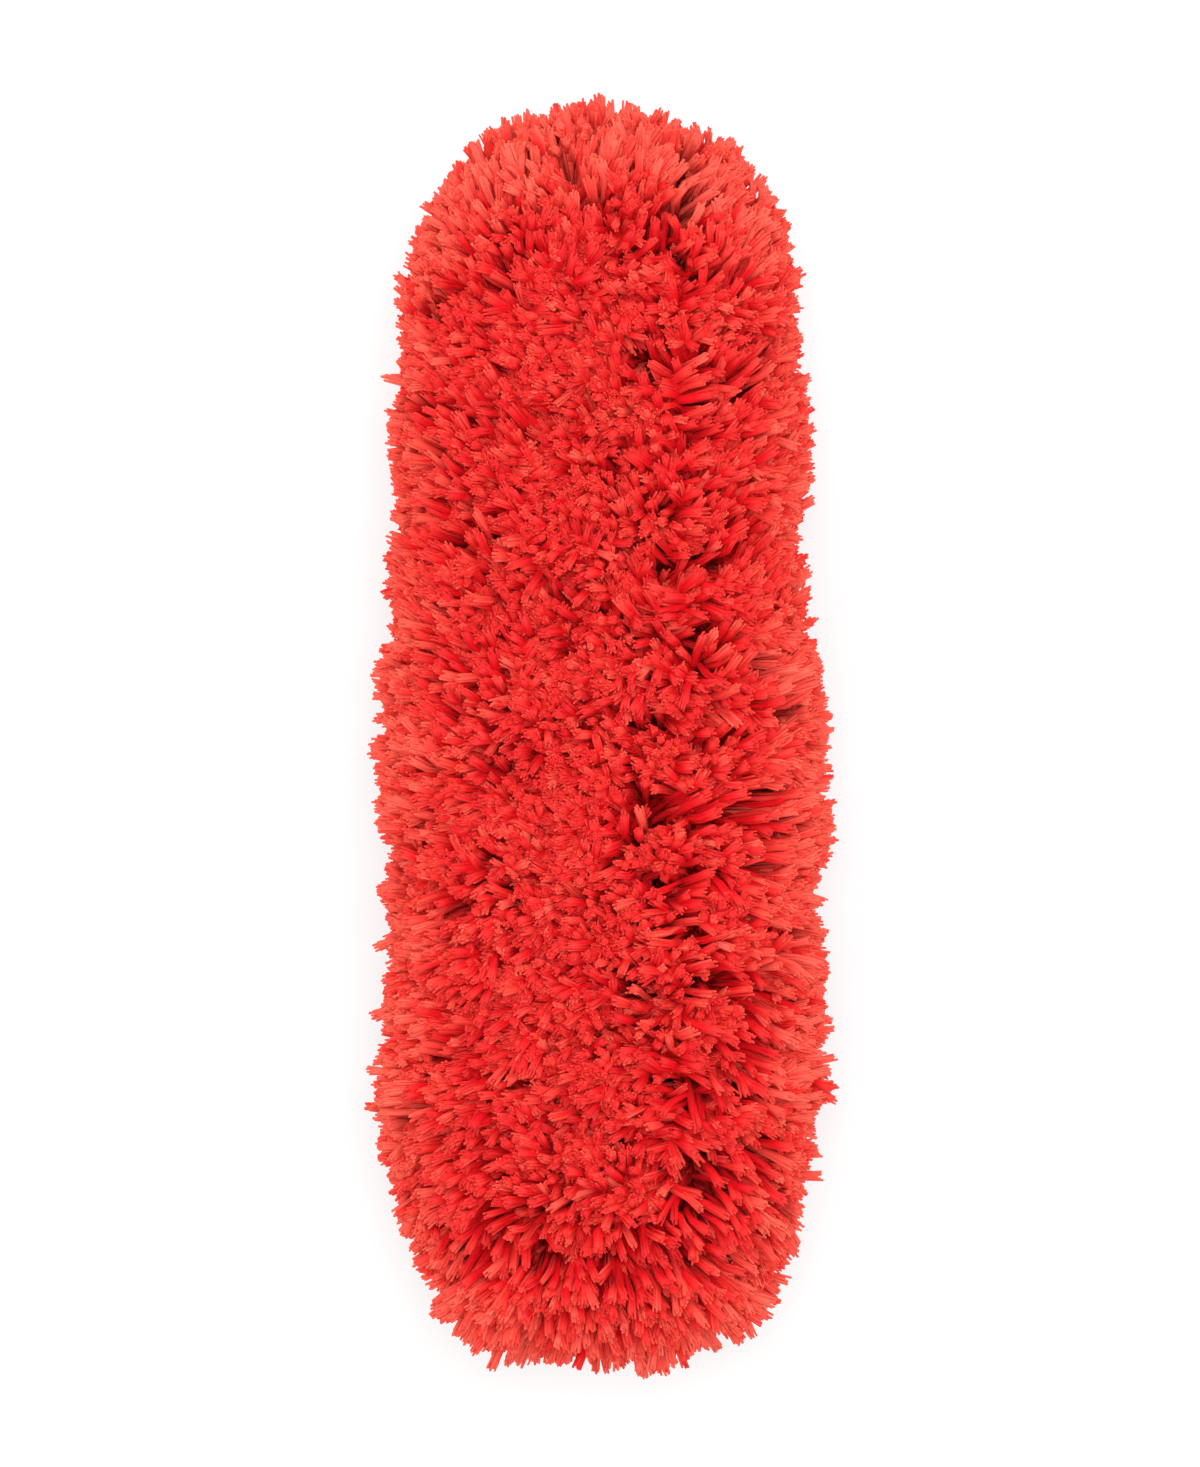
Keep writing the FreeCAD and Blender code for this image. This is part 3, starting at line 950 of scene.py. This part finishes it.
    @staticmethod
    def fit(outline: Outline, lines: np.ndarray) -> None:
        """Follows the fluff's lumps at the sides and rests the lowest yarns on the floor.

        Args:
            outline: the sleeve's outline.
            lines: centre lines, changed in place.
        """
        across, along = lines[..., 0], lines[..., 1]
        far = np.clip((np.abs(across) - 26.0) / 26.0, 0, 1.3)
        grow = np.zeros_like(across)
        for lump in LUMPS:
            near = np.exp(-(((along - lump.along) / lump.spread) ** 2))
            grow += np.where(np.sign(across) == lump.side, lump.reach * near, 0.0)
        lines[..., 0] = across + np.sign(across) * grow * far
        lowest, softness, settled = 1.3, 3.0, 0.35
        over = lines[..., 2] - lowest
        held = 0.5 * (over + np.sqrt(over**2 + softness**2))
        lines[..., 2] = lowest + held - settled


@dataclass(frozen=True)
class MouthRow:
    """Short row of yarn across the pocket's mouth, fanned out over the end of the sleeve."""

    name: str
    face: Face
    fan: Fan
    pile_length: float
    count: int
    seed: int
    half_turn: float = 70.0
    spread_length: float = 60.0
    flop: float = 0.6
    stray: float = 0.8

    def strands(self, outline: Outline, level: float) -> Strands:
        """Lays the row's yarns.

        Args:
            outline: the sleeve's outline.
            level: height of the row's tape.

        Returns:
            The yarns' centre lines.
        """
        random = np.random.default_rng(self.seed)
        low, high = in_mm(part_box(f"tape_{self.face.value}_mouth"))
        share = (np.arange(self.count) + random.uniform(0, 1, self.count)) / self.count
        point = np.stack([
            low[0] + (high[0] - low[0]) * share,
            random.uniform(low[1] + 1, high[1] - 1, self.count),
        ], axis=1)
        turn = np.radians((2 * share - 1) * self.half_turn)
        normal = np.stack([np.sin(turn), -np.cos(turn)], axis=1)
        fan_share = (np.arange(self.count) * GOLDEN_SHARE) % 1.0
        row = PileRow(
            self.name, self.face, 0.0, 0.0, self.fan, self.fan, self.pile_length, 0.0, self.seed,
            flop=self.flop,
        )
        field = TuftField(random, self.spread_length, self.stray)
        return field.grow(
            row, outline, share * self.spread_length, fan_share, point, normal,
            self.fan.at(fan_share), level,
        )


TOP, UNDER, RIM = Face.TOP, Face.UNDER, Face.RIM
ROWS = (
    PileRow("top_centre", TOP, 1.4, 90, Fan(-48, 10), Fan(-10, 48), 27.0, 6.8, 11, lay_over=24),
    PileRow("top_inner", TOP, 11.0, 90, Fan(-44, 34), Fan(-12, 58), 27.0, 9.2, 12, lay_over=12),
    PileRow("top_outer", TOP, 22.0, 41, Fan(-34, 82), Fan(-26, 82), 26.0, 11.0, 13, stray=0.85),
    PileRow("rim", RIM, 32.6, 41, Fan(60, -64), Fan(60, -64), 17.4, 10.8, 14, flop=0.3, stray=0.7),
    PileRow("under_outer", UNDER, 22.0, 41, Fan(0, 84), Fan(0, 84), 23.0, 4.5, 15),
    PileRow("under_inner", UNDER, 11.0, 90, Fan(-20, 44), Fan(-20, 44), 23.0, 3.7, 16),
    PileRow("under_centre", UNDER, 1.4, 90, Fan(-14, 24), Fan(-14, 24), 22.0, 3.2, 17),
)
MOUTH_ROWS = (
    MouthRow("top_mouth", TOP, Fan(12, 90), 28.0, 780, 21),
    MouthRow("under_mouth", UNDER, Fan(20, 92), 27.5, 550, 22),
)


@dataclass
class Pile:
    """All the sewn rows of yarn."""

    outline: Outline
    shape: YarnShape
    finish: YarnFinish
    most_yarns: int = 1100

    def level(self, name: str) -> float:
        """Height of the tape that a row is sewn to, in millimetres."""
        low, high = in_mm(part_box(f"tape_{name}"))
        if name == "rim":
            return float(low[2] + high[2]) / 2
        return float(high[2] if name.startswith("top") else low[2])

    def build(self) -> None:
        """Builds and dresses every row, in pieces of a handy size."""
        material = self.finish.make()
        for row in ROWS + MOUTH_ROWS:
            yarns = row.strands(self.outline, self.level(row.name))
            parts = math.ceil(len(yarns.lines) / self.most_yarns)
            for index, pick in enumerate(np.array_split(np.arange(len(yarns.lines)), parts)):
                maker = YarnMesh(self.shape, row.seed * 100 + index)
                piece = maker.build(
                    f"yarn_{row.name}_{index + 1}", yarns.lines[pick], yarns.shade[pick],
                    yarns.swell[pick],
                )
                piece.data.materials.append(material)
                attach(piece, "root")
                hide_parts(f"pile_{row.name}")
                log.info("%s: %d yarns", piece.name, len(pick))


@dataclass(frozen=True)
class TapeFinish(Finish):
    """Ribbed tape: close ribs that run straight across it, seen as fine light and dark lines."""

    light: tuple[int, int, int] = (222, 34, 38)
    dark: tuple[int, int, int] = (168, 14, 24)
    rib: float = 0.9
    rough: float = 0.85

    def make(self) -> bpy.types.Material:
        """Builds the material; the ribs follow the strip's own length."""
        material, tree, shader = self.start()
        place = self.node(tree, "ShaderNodeUVMap", uv_map="StripRun")
        ribs = self.node(
            tree, "ShaderNodeTexWave", bands_direction="Y", Scale=math.pi / (10 * self.rib),
            Distortion=0.6, Detail=2.0,
        )
        tree.links.new(place.outputs["UV"], ribs.inputs["Vector"])
        fuzz = self.node(tree, "ShaderNodeTexNoise", Scale=2.2, Detail=4.0)
        tree.links.new(place.outputs["UV"], fuzz.inputs["Vector"])
        colour = self.ramp(tree, ribs.outputs["Fac"], (
            (0.1, linear(*self.dark)),
            (0.7, linear(*self.light)),
        ))
        shade = self.ramp(tree, fuzz.outputs["Fac"], (
            (0.3, (0.78, 0.7, 0.7, 1)),
            (0.65, WHITE),
        ))
        colour = self.blend(tree, "MULTIPLY", 1.0, colour, shade)
        tree.links.new(colour, shader.inputs["Base Color"])
        self.constants(shader, {"Roughness": self.rough, "Specular IOR Level": 0.15})
        self.relief(tree, shader, ribs.outputs["Fac"], 0.6, 0.0002)
        return material


@dataclass(frozen=True)
class Run:
    """A line that a strip of cloth or thread follows, with the outward direction at each point."""

    point: np.ndarray
    normal: np.ndarray

    @classmethod
    def ring(cls, outline: Outline, radius: float, mouth_angle: float, step: float) -> "Run":
        """Ring round the pocket that ends at the mouth.

        Args:
            outline: the sleeve's outline.
            radius: the ring's distance from the centre line.
            mouth_angle: degrees that the ring goes round the mouth end on each side.
            step: distance between stations.

        Returns:
            The run.
        """
        angle = math.radians(mouth_angle)
        total = outline.length(radius, angle)
        along = np.linspace(0, total, round(total / step) + 1)
        return cls(*outline.place(along, radius, angle))

    @classmethod
    def across(cls, half_length: float, place: float, step: float) -> "Run":
        """Straight run across the mouth; outward is away from the pocket.

        Args:
            half_length: half the run's length.
            place: where it lies along the sleeve.
            step: distance between stations.

        Returns:
            The run.
        """
        count = round(2 * half_length / step) + 1
        reach = np.linspace(-half_length, half_length, count)
        point = np.stack([reach, np.full(count, place)], axis=1)
        return cls(point, np.tile([0.0, -1.0], (count, 1)))

    @property
    def along(self) -> np.ndarray:
        """Distance of each station from the start."""
        legs = np.linalg.norm(np.diff(self.point, axis=0), axis=1)
        return np.concatenate([[0.0], np.cumsum(legs)])


def band(path: list[tuple[float, float]], thickness: float) -> np.ndarray:
    """Closed section of a strip of cloth that follows a path, such as a fold.

    Args:
        path: (outward, up) points along the middle of the cloth.
        thickness: the cloth's thickness.

    Returns:
        The section's corners.
    """
    line = np.array(path)
    heading = np.gradient(line, axis=0)
    heading /= np.linalg.norm(heading, axis=1, keepdims=True)
    beside = np.stack([-heading[:, 1], heading[:, 0]], axis=1) * thickness / 2
    return np.concatenate([line + beside, (line - beside)[::-1]])


def slab(low: tuple[float, float], high: tuple[float, float], round_by: float) -> np.ndarray:
    """Closed section of a flat strip with softened corners.

    Args:
        low: lowest (outward, up) corner.
        high: highest corner.
        round_by: how far the corners are softened.

    Returns:
        The section's corners, with points along its wider faces.
    """
    (left, bottom), (right, top) = low, high
    far = [0.0, 0.5, 1.0]
    under = [(left + round_by + (right - left - 2 * round_by) * share, bottom) for share in far]
    over = [(x, top) for x, _ in reversed(under)]
    rise = top - bottom - 2 * round_by
    outer = [(right, bottom + round_by + rise * share) for share in far]
    inner = [(left, up) for _, up in reversed(outer)]
    return np.array(under + outer + over + inner)


class StripMesh:
    """Sweeps a closed section along a run, as a tape, a fold of cloth or a thread."""

    def __init__(self, run: Run, section: np.ndarray) -> None:
        """Keeps the run and the section.

        Args:
            run: the line it follows.
            section: closed (outward, up) corners, in millimetres.
        """
        self.run = run
        self.section = section
        self.shift = np.zeros((len(run.point), 2))

    def ripple(self, size: float, pitch: float, seed: int) -> "StripMesh":
        """Lifts and lowers the strip along its run, as gathers or stitches do.

        Args:
            size: how far it moves up and down.
            pitch: distance from one rise to the next.
            seed: seed of its small differences.

        Returns:
            The strip itself.
        """
        random = np.random.default_rng(seed)
        phase = 2 * math.pi * self.run.along / pitch
        wander = np.interp(
            self.run.along, np.linspace(0, self.run.along[-1], 40), random.normal(0, 0.5, 40)
        )
        self.shift[:, 1] += size * np.sin(phase + wander)
        return self

    def build(self, name: str) -> bpy.types.Object:
        """Makes the mesh object.

        Args:
            name: the piece's name.

        Returns:
            The new object, in metres.
        """
        run, count, many = self.run, len(self.run.point), len(self.section)
        section = self.section[None, :, :] + self.shift[:, None, :]
        verts = np.empty((count, many, 3))
        verts[..., :2] = run.point[:, None, :] + section[..., :1] * run.normal[:, None, :]
        verts[..., 2] = section[..., 1]
        around = np.linalg.norm(np.diff(self.section, axis=0, append=self.section[:1]), axis=1)
        around = np.concatenate([[0.0], np.cumsum(around)])
        faces, places = [], []
        for station in range(count - 1):
            start, end = run.along[station], run.along[station + 1]
            for corner in range(many):
                after = (corner + 1) % many
                low, high = station * many, (station + 1) * many
                faces.append([low + corner, high + corner, high + after, low + after])
                left, right = around[corner], around[corner + 1]
                places += [(left, start), (left, end), (right, end), (right, start)]
        ends = ((0, range(many)), (count - 1, range(many - 1, -1, -1)))
        for station, order in ends:
            faces.append([station * many + corner for corner in order])
            places += [(around[corner], run.along[station]) for corner in order]
        mesh = bpy.data.meshes.new(name)
        mesh.from_pydata((verts.reshape(-1, 3) * MM).tolist(), [], faces)
        layer = mesh.uv_layers.new(name="StripRun")
        layer.data.foreach_set("uv", np.array(places, dtype=np.float32).ravel())
        mesh.validate()
        mesh.update()
        return added(name, mesh)


def added(name: str, mesh: bpy.types.Mesh) -> bpy.types.Object:
    """Adds a mesh to the scene as a smooth-shaded object.

    Args:
        name: the piece's name.
        mesh: its mesh.

    Returns:
        The new object.
    """
    mesh.shade_smooth()
    piece = bpy.data.objects.new(name, mesh)
    bpy.context.scene.collection.objects.link(piece)
    return piece


@dataclass(frozen=True)
class Facing:
    """One side of the pocket: heights are measured outward from its middle."""

    name: str
    middle: float
    sign: int

    def section(self, corners: np.ndarray) -> np.ndarray:
        """Turns a section drawn outward from the pocket's middle to this side."""
        return np.stack([corners[:, 0], self.middle + self.sign * corners[:, 1]], axis=1)


@dataclass
class PocketPanel:
    """Woven panel of the pocket: rounded at the closed end and cut straight at the mouth.

    Sizes in millimetres.
    """

    outline: Outline
    facing: Facing
    thickness: float = 0.8
    pucker: float = 0.16
    pucker_pitch: float = 11.0
    columns: int = 48
    flat: tuple[float, float] = (0.062, 0.254)
    area: float = 0.015169

    def build(self) -> bpy.types.Object:
        """Builds the panel, slightly puckered between its rows of stitches."""
        name = f"pocket_panel_{self.facing.name}"
        low, high = in_mm(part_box(name))
        head = self.outline.arc_centre + high[0] * np.sin(np.linspace(0, math.pi / 2, 18))
        along = np.concatenate([
            np.linspace(low[1], -self.outline.arc_centre, 14),
            np.linspace(-self.outline.arc_centre, self.outline.arc_centre, 100)[1:],
            head[1:],
        ])
        past = np.clip(np.abs(along) - self.outline.arc_centre, 0, high[0])
        half = np.sqrt(np.clip(high[0] ** 2 - past**2, 0.04, None))
        across = np.linspace(-1, 1, self.columns + 1)
        x = half[:, None] * across[None, :]
        y = np.broadcast_to(along[:, None], x.shape)
        wave = np.cos(2 * math.pi * x / self.pucker_pitch)
        wave = wave * np.cos(y / 2.6 + 0.4 * np.sin(y / 9))
        middle = (low[2] + high[2]) / 2 + self.pucker * wave
        rows, columns = x.shape
        layers = [np.stack([x, y, middle + step], axis=2) for step in
                  (-self.thickness / 2, self.thickness / 2)]
        verts = np.concatenate([layer.reshape(-1, 3) for layer in layers]) * MM
        shift = rows * columns
        faces = []
        for row in range(rows - 1):
            for column in range(columns - 1):
                start = row * columns + column
                lower = [start, start + columns, start + columns + 1, start + 1]
                faces += [lower, [corner + shift for corner in reversed(lower)]]
        rim = list(range(columns))
        rim += [row * columns + columns - 1 for row in range(1, rows)]
        rim += [(rows - 1) * columns + column for column in range(columns - 2, -1, -1)]
        rim += [row * columns for row in range(rows - 2, 0, -1)]
        for start, end in zip(rim, rim[1:] + rim[:1]):
            faces.append([start, end, end + shift, start + shift])
        mesh = bpy.data.meshes.new(name)
        mesh.from_pydata(verts.tolist(), [], faces)
        mesh.validate()
        mesh.update()
        return added(f"cloth_panel_{self.facing.name}", mesh)


@dataclass
class Pocket:
    """The cloth pocket under the pile: panels, hems, binding, tapes, threads and elastic.

    Sizes in millimetres; heights are outward from the pocket's middle.
    """

    outline: Outline
    row_radii: tuple[tuple[str, float, float], ...] = (
        ("centre", 1.75, 90.0), ("inner", 11.0, 90.0), ("outer", 22.0, 41.0),
    )
    binding_angle: float = 46.0
    tape_foot: float = 5.0
    tape_top: float = 5.8
    stitch_length: float = 3.0

    def build(self) -> None:
        """Builds and dresses every sewn piece of the pocket."""
        self.cloth = ClothFinish("backing_cloth").make()
        self.hem_cloth = ClothFinish("hem_cloth", light=(214, 32, 38), dark=(160, 14, 24)).make()
        self.ribbed = TapeFinish("binding_tape", light=(216, 32, 36)).make()
        self.woven = TapeFinish("header_tape", rib=0.55).make()
        self.thread = TapeFinish(
            "sewing_thread", light=(236, 46, 44), dark=(190, 20, 28), rib=0.35
        ).make()
        self.braid = TapeFinish(
            "elastic_band", light=(196, 26, 34), dark=(132, 12, 20), rib=1.4
        ).make()
        binding = self.binding()
        for facing in (
            Facing("top", self.outline.mid_height, 1),
            Facing("under", self.outline.mid_height, -1),
        ):
            panel = self.panel(facing, binding)
            self.hem(facing)
            self.mouth_strips(facing)
            self.headers(facing)
        self.rim()

    def dress(
        self, piece: bpy.types.Object, material: bpy.types.Material, node: str
    ) -> bpy.types.Object:
        """Gives a piece its finish, hangs it on the root body and hides its CAD node.

        Args:
            piece: the piece.
            material: its finish.
            node: the CAD node.

        Returns:
            The piece.
        """
        piece.data.materials.append(material)
        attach(piece, "root")
        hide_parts(node)
        log.info("%s stands for %s", piece.name, node)
        return piece

    def panel(self, facing: Facing, binding: bpy.types.Object) -> bpy.types.Object:
        """Panel of one side, held by the binding."""
        maker = PocketPanel(self.outline, facing)
        node = f"pocket_panel_{facing.name}"
        piece = self.dress(maker.build(), self.cloth, node)
        return piece

    def binding(self) -> bpy.types.Object:
        """Tape folded over the pocket's edge, from the mouth round the closed end."""
        middle = self.outline.mid_height
        side = [(-4.0, 5.4), (-2.2, 5.42), (-0.5, 5.4), (0.1, 5.25), (0.38, 4.8), (0.4, 2.5)]
        path = side + [(0.4, 0.0)] + [(out, -up) for out, up in reversed(side)]
        section = band([(out, middle + up) for out, up in path], 0.76)
        run = Run.ring(self.outline, 31.0, self.binding_angle, 1.5)
        piece = StripMesh(run, section).ripple(0.06, 4.6, 31).build("binding_cloth")
        self.dress(piece, self.ribbed, "edge_binding")
        return piece

    def hem(self, facing: Facing) -> None:
        """Hem folded over the elastic at the mouth, with its small gathers."""
        low, high = in_mm(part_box(f"mouth_hem_{facing.name}"))
        foot, top, depth = 5.25, 7.15, high[1] - low[1]
        path = [(0.3, foot), (3.0, foot), (depth - 1.0, foot), (depth - 0.42, foot + 0.3),
                (depth - 0.26, (foot + top) / 2), (depth - 0.42, top - 0.3), (depth - 1.0, top),
                (5.0, top), (3.0, top), (0.3, top - 0.05)]
        section = facing.section(band(path, 0.48))
        run = Run.across(high[0], high[1], 0.4)
        piece = StripMesh(run, section).ripple(0.09, 3.3, 41).build(f"hem_cloth_{facing.name}")
        self.dress(piece, self.hem_cloth, f"mouth_hem_{facing.name}")

    def mouth_strips(self, facing: Facing) -> None:
        """Elastic, header tape and stitches that run straight across the mouth."""
        for node, slot, material, soften, size, pitch in (
            (f"mouth_elastic_{facing.name}", "elastic_band", self.braid, 0.3, 0.05, 2.2),
            (f"tape_{facing.name}_mouth", "header_tape", self.woven, 0.2, 0.07, 3.3),
        ):
            low, high = in_mm(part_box(node))
            section = slab((0.0, low[2]), (high[1] - low[1], high[2]), soften)
            run = Run.across(high[0], high[1], 0.4)
            piece = StripMesh(run, section).ripple(size, pitch, 51).build(f"strip_{node}")
            self.dress(piece, material, node)
        for node in (f"hem_stitch_{facing.name}", f"stitch_{facing.name}_mouth"):
            low, high = in_mm(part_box(node))
            run = Run.across(high[0], (low[1] + high[1]) / 2, 0.3)
            self.stitches(run, node, (low[2] + high[2]) / 2, 0.0, facing.sign)

    def stitches(self, run: Run, node: str, height: float, out: float, sign: int) -> None:
        """Line of lock stitches: a thread that dips into the cloth at each stitch.

        Args:
            run: the line it follows.
            node: the CAD node it stands for.
            height: the thread's height.
            out: its distance outward from the run.
            sign: which way is out of the cloth, 1 up and -1 down.
        """
        turn = np.linspace(0, 2 * math.pi, 6, endpoint=False)
        section = np.stack([out + 0.34 * np.cos(turn), height + 0.22 * np.sin(turn)], axis=1)
        strip = StripMesh(run, section)
        dip = np.abs(np.sin(math.pi * run.along / self.stitch_length)) ** 0.5
        strip.shift[:, 1] += sign * 0.42 * (dip - 1.0)
        self.dress(strip.build(f"thread_{node}"), self.thread, node)

    def headers(self, facing: Facing) -> None:
        """Header tapes of one side's rows, with their stitches, and the binding's stitches."""
        for name, radius, angle in self.row_radii:
            half = 1.75 if name == "centre" else 3.5
            section = facing.section(slab((-half, self.tape_foot), (half, self.tape_top), 0.2))
            run = Run.ring(self.outline, radius, angle, 1.5)
            node = f"tape_{facing.name}_{name}"
            piece = StripMesh(run, section).ripple(0.05, 5.1, 61).build(f"strip_{node}")
            self.dress(piece, self.woven, node)
            height = self.outline.mid_height + facing.sign * (self.tape_top + 0.25)
            out = 2.6 - (1.75 if name == "centre" else 0.0)
            fine = Run.ring(self.outline, radius, angle, 0.5)
            self.stitches(fine, f"stitch_{facing.name}_{name}", height, out, facing.sign)
        fine = Run.ring(self.outline, 29.3, self.binding_angle, 0.5)
        height = self.outline.mid_height + facing.sign * (self.tape_top + 0.25)
        self.stitches(fine, f"edge_stitch_{facing.name}", height, 0.0, facing.sign)

    def rim(self) -> None:
        """Header tape and stitches of the rim row, on the outside of the binding."""
        low, high = in_mm(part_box("tape_rim"))
        section = slab((0.8, low[2]), (1.6, high[2]), 0.2)
        run = Run.ring(self.outline, 31.0, 41.0, 1.5)
        piece = StripMesh(run, section).ripple(0.05, 5.1, 71).build("strip_tape_rim")
        self.dress(piece, self.woven, "tape_rim")
        low, high = in_mm(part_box("stitch_rim"))
        fine = Run.ring(self.outline, 31.0, 41.0, 0.5)
        turn = np.linspace(0, 2 * math.pi, 6, endpoint=False)
        middle = (low[2] + high[2]) / 2
        section = np.stack([1.8 + 0.22 * np.cos(turn), middle + 0.34 * np.sin(turn)], axis=1)
        strip = StripMesh(fine, section)
        dip = np.abs(np.sin(math.pi * fine.along / self.stitch_length)) ** 0.5
        strip.shift[:, 0] += 0.42 * (dip - 1.0)
        self.dress(strip.build("thread_stitch_rim"), self.thread, "stitch_rim")


@dataclass
class Studio:
    """Floor, soft light and camera. Sizes in metres."""

    floor_half: float = 3.0
    lens: float = 120.0
    sensor: float = 36.0
    frame_height: float = 0.350
    lamp_size: float = 0.6
    overhead: float = 9.2
    side: float = 2.9
    surround: float = 0.96

    def build(self) -> None:
        """Builds the stage."""
        self.floor()
        self.lights()
        self.camera()

    def floor(self) -> None:
        """Flat pale floor, gently dished up far from the sleeve."""
        steps = 24
        grid = np.linspace(-self.floor_half, self.floor_half, steps + 1)
        x, y = np.meshgrid(grid, grid)
        lift = np.clip(np.hypot(x, y) - self.floor_half * 0.6, 0, None) ** 2 * 0.02
        verts = np.stack([x, y, lift], axis=2).reshape(-1, 3)
        faces = [
            (r * (steps + 1) + c, r * (steps + 1) + c + 1, (r + 1) * (steps + 1) + c + 1,
             (r + 1) * (steps + 1) + c)
            for r in range(steps) for c in range(steps)
        ]
        mesh = bpy.data.meshes.new("studio_floor")
        mesh.from_pydata(verts.tolist(), [], faces)
        floor = bpy.data.objects.new("studio_floor", mesh)
        bpy.context.scene.collection.objects.link(floor)
        floor.data.materials.append(FloorFinish("pale_floor").make())

    def lamp(self, name: str, place: tuple[float, float, float], power: float) -> None:
        """Square soft lamp that faces the sleeve.

        Args:
            name: the lamp's name.
            place: where it hangs.
            power: its power in watts.
        """
        data = bpy.data.lights.new(name, "AREA")
        data.size = self.lamp_size
        data.energy = power
        lamp = bpy.data.objects.new(name, data)
        lamp.location = place
        aim = -np.array(place) + np.array([0, 0, 0.03])
        lamp.rotation_euler = Vector(aim.tolist()).to_track_quat("-Z", "Y").to_euler()
        bpy.context.scene.collection.objects.link(lamp)

    def lights(self) -> None:
        """Soft light from above and from all sides, and an even pale surround."""
        for name, place, power in (
            ("overhead_lamp", (0.03, 0.12, 1.5), self.overhead),
            ("left_lamp", (-1.1, 0.1, 0.55), self.side),
            ("right_lamp", (1.1, 0.1, 0.55), self.side),
            ("far_lamp", (0.0, 1.2, 0.6), self.side),
        ):
            self.lamp(name, place, power)
        world = bpy.data.worlds.new("studio_surround")
        bpy.context.scene.world = world
        world.use_nodes = True
        tree = world.node_tree
        back = tree.nodes["Background"]
        back.inputs["Color"].default_value = WHITE
        back.inputs["Strength"].default_value = self.surround

    def camera(self) -> None:
        """Camera straight above the sleeve, with its long side upright in the picture."""
        data = bpy.data.cameras.new("camera")
        data.lens = self.lens
        data.sensor_width = self.sensor
        data.clip_start = 0.05
        data.clip_end = 20
        camera = bpy.data.objects.new("camera", data)
        low, high = CAD_BOX
        middle = (low[2] + high[2]) / 2
        distance = self.frame_height * self.lens / self.sensor
        camera.location = (0, 0.0005, middle + distance)
        bpy.context.scene.collection.objects.link(camera)
        bpy.context.scene.camera = camera


def main() -> None:
    """Builds the sleeve and the studio, piece by piece."""
    logging.basicConfig(level=logging.INFO, format="%(name)s: %(message)s")
    outline = Outline.from_frame()
    log.info("arc centre %.1f mm, half width %.1f mm", outline.arc_centre, outline.half_width)
    Pile(outline, YarnShape(), YarnFinish("yarn")).build()
    Pocket(outline).build()
    Studio().build()
    bpy.context.scene.view_settings.view_transform = "Standard"


if __name__ == "__main__":
    main()
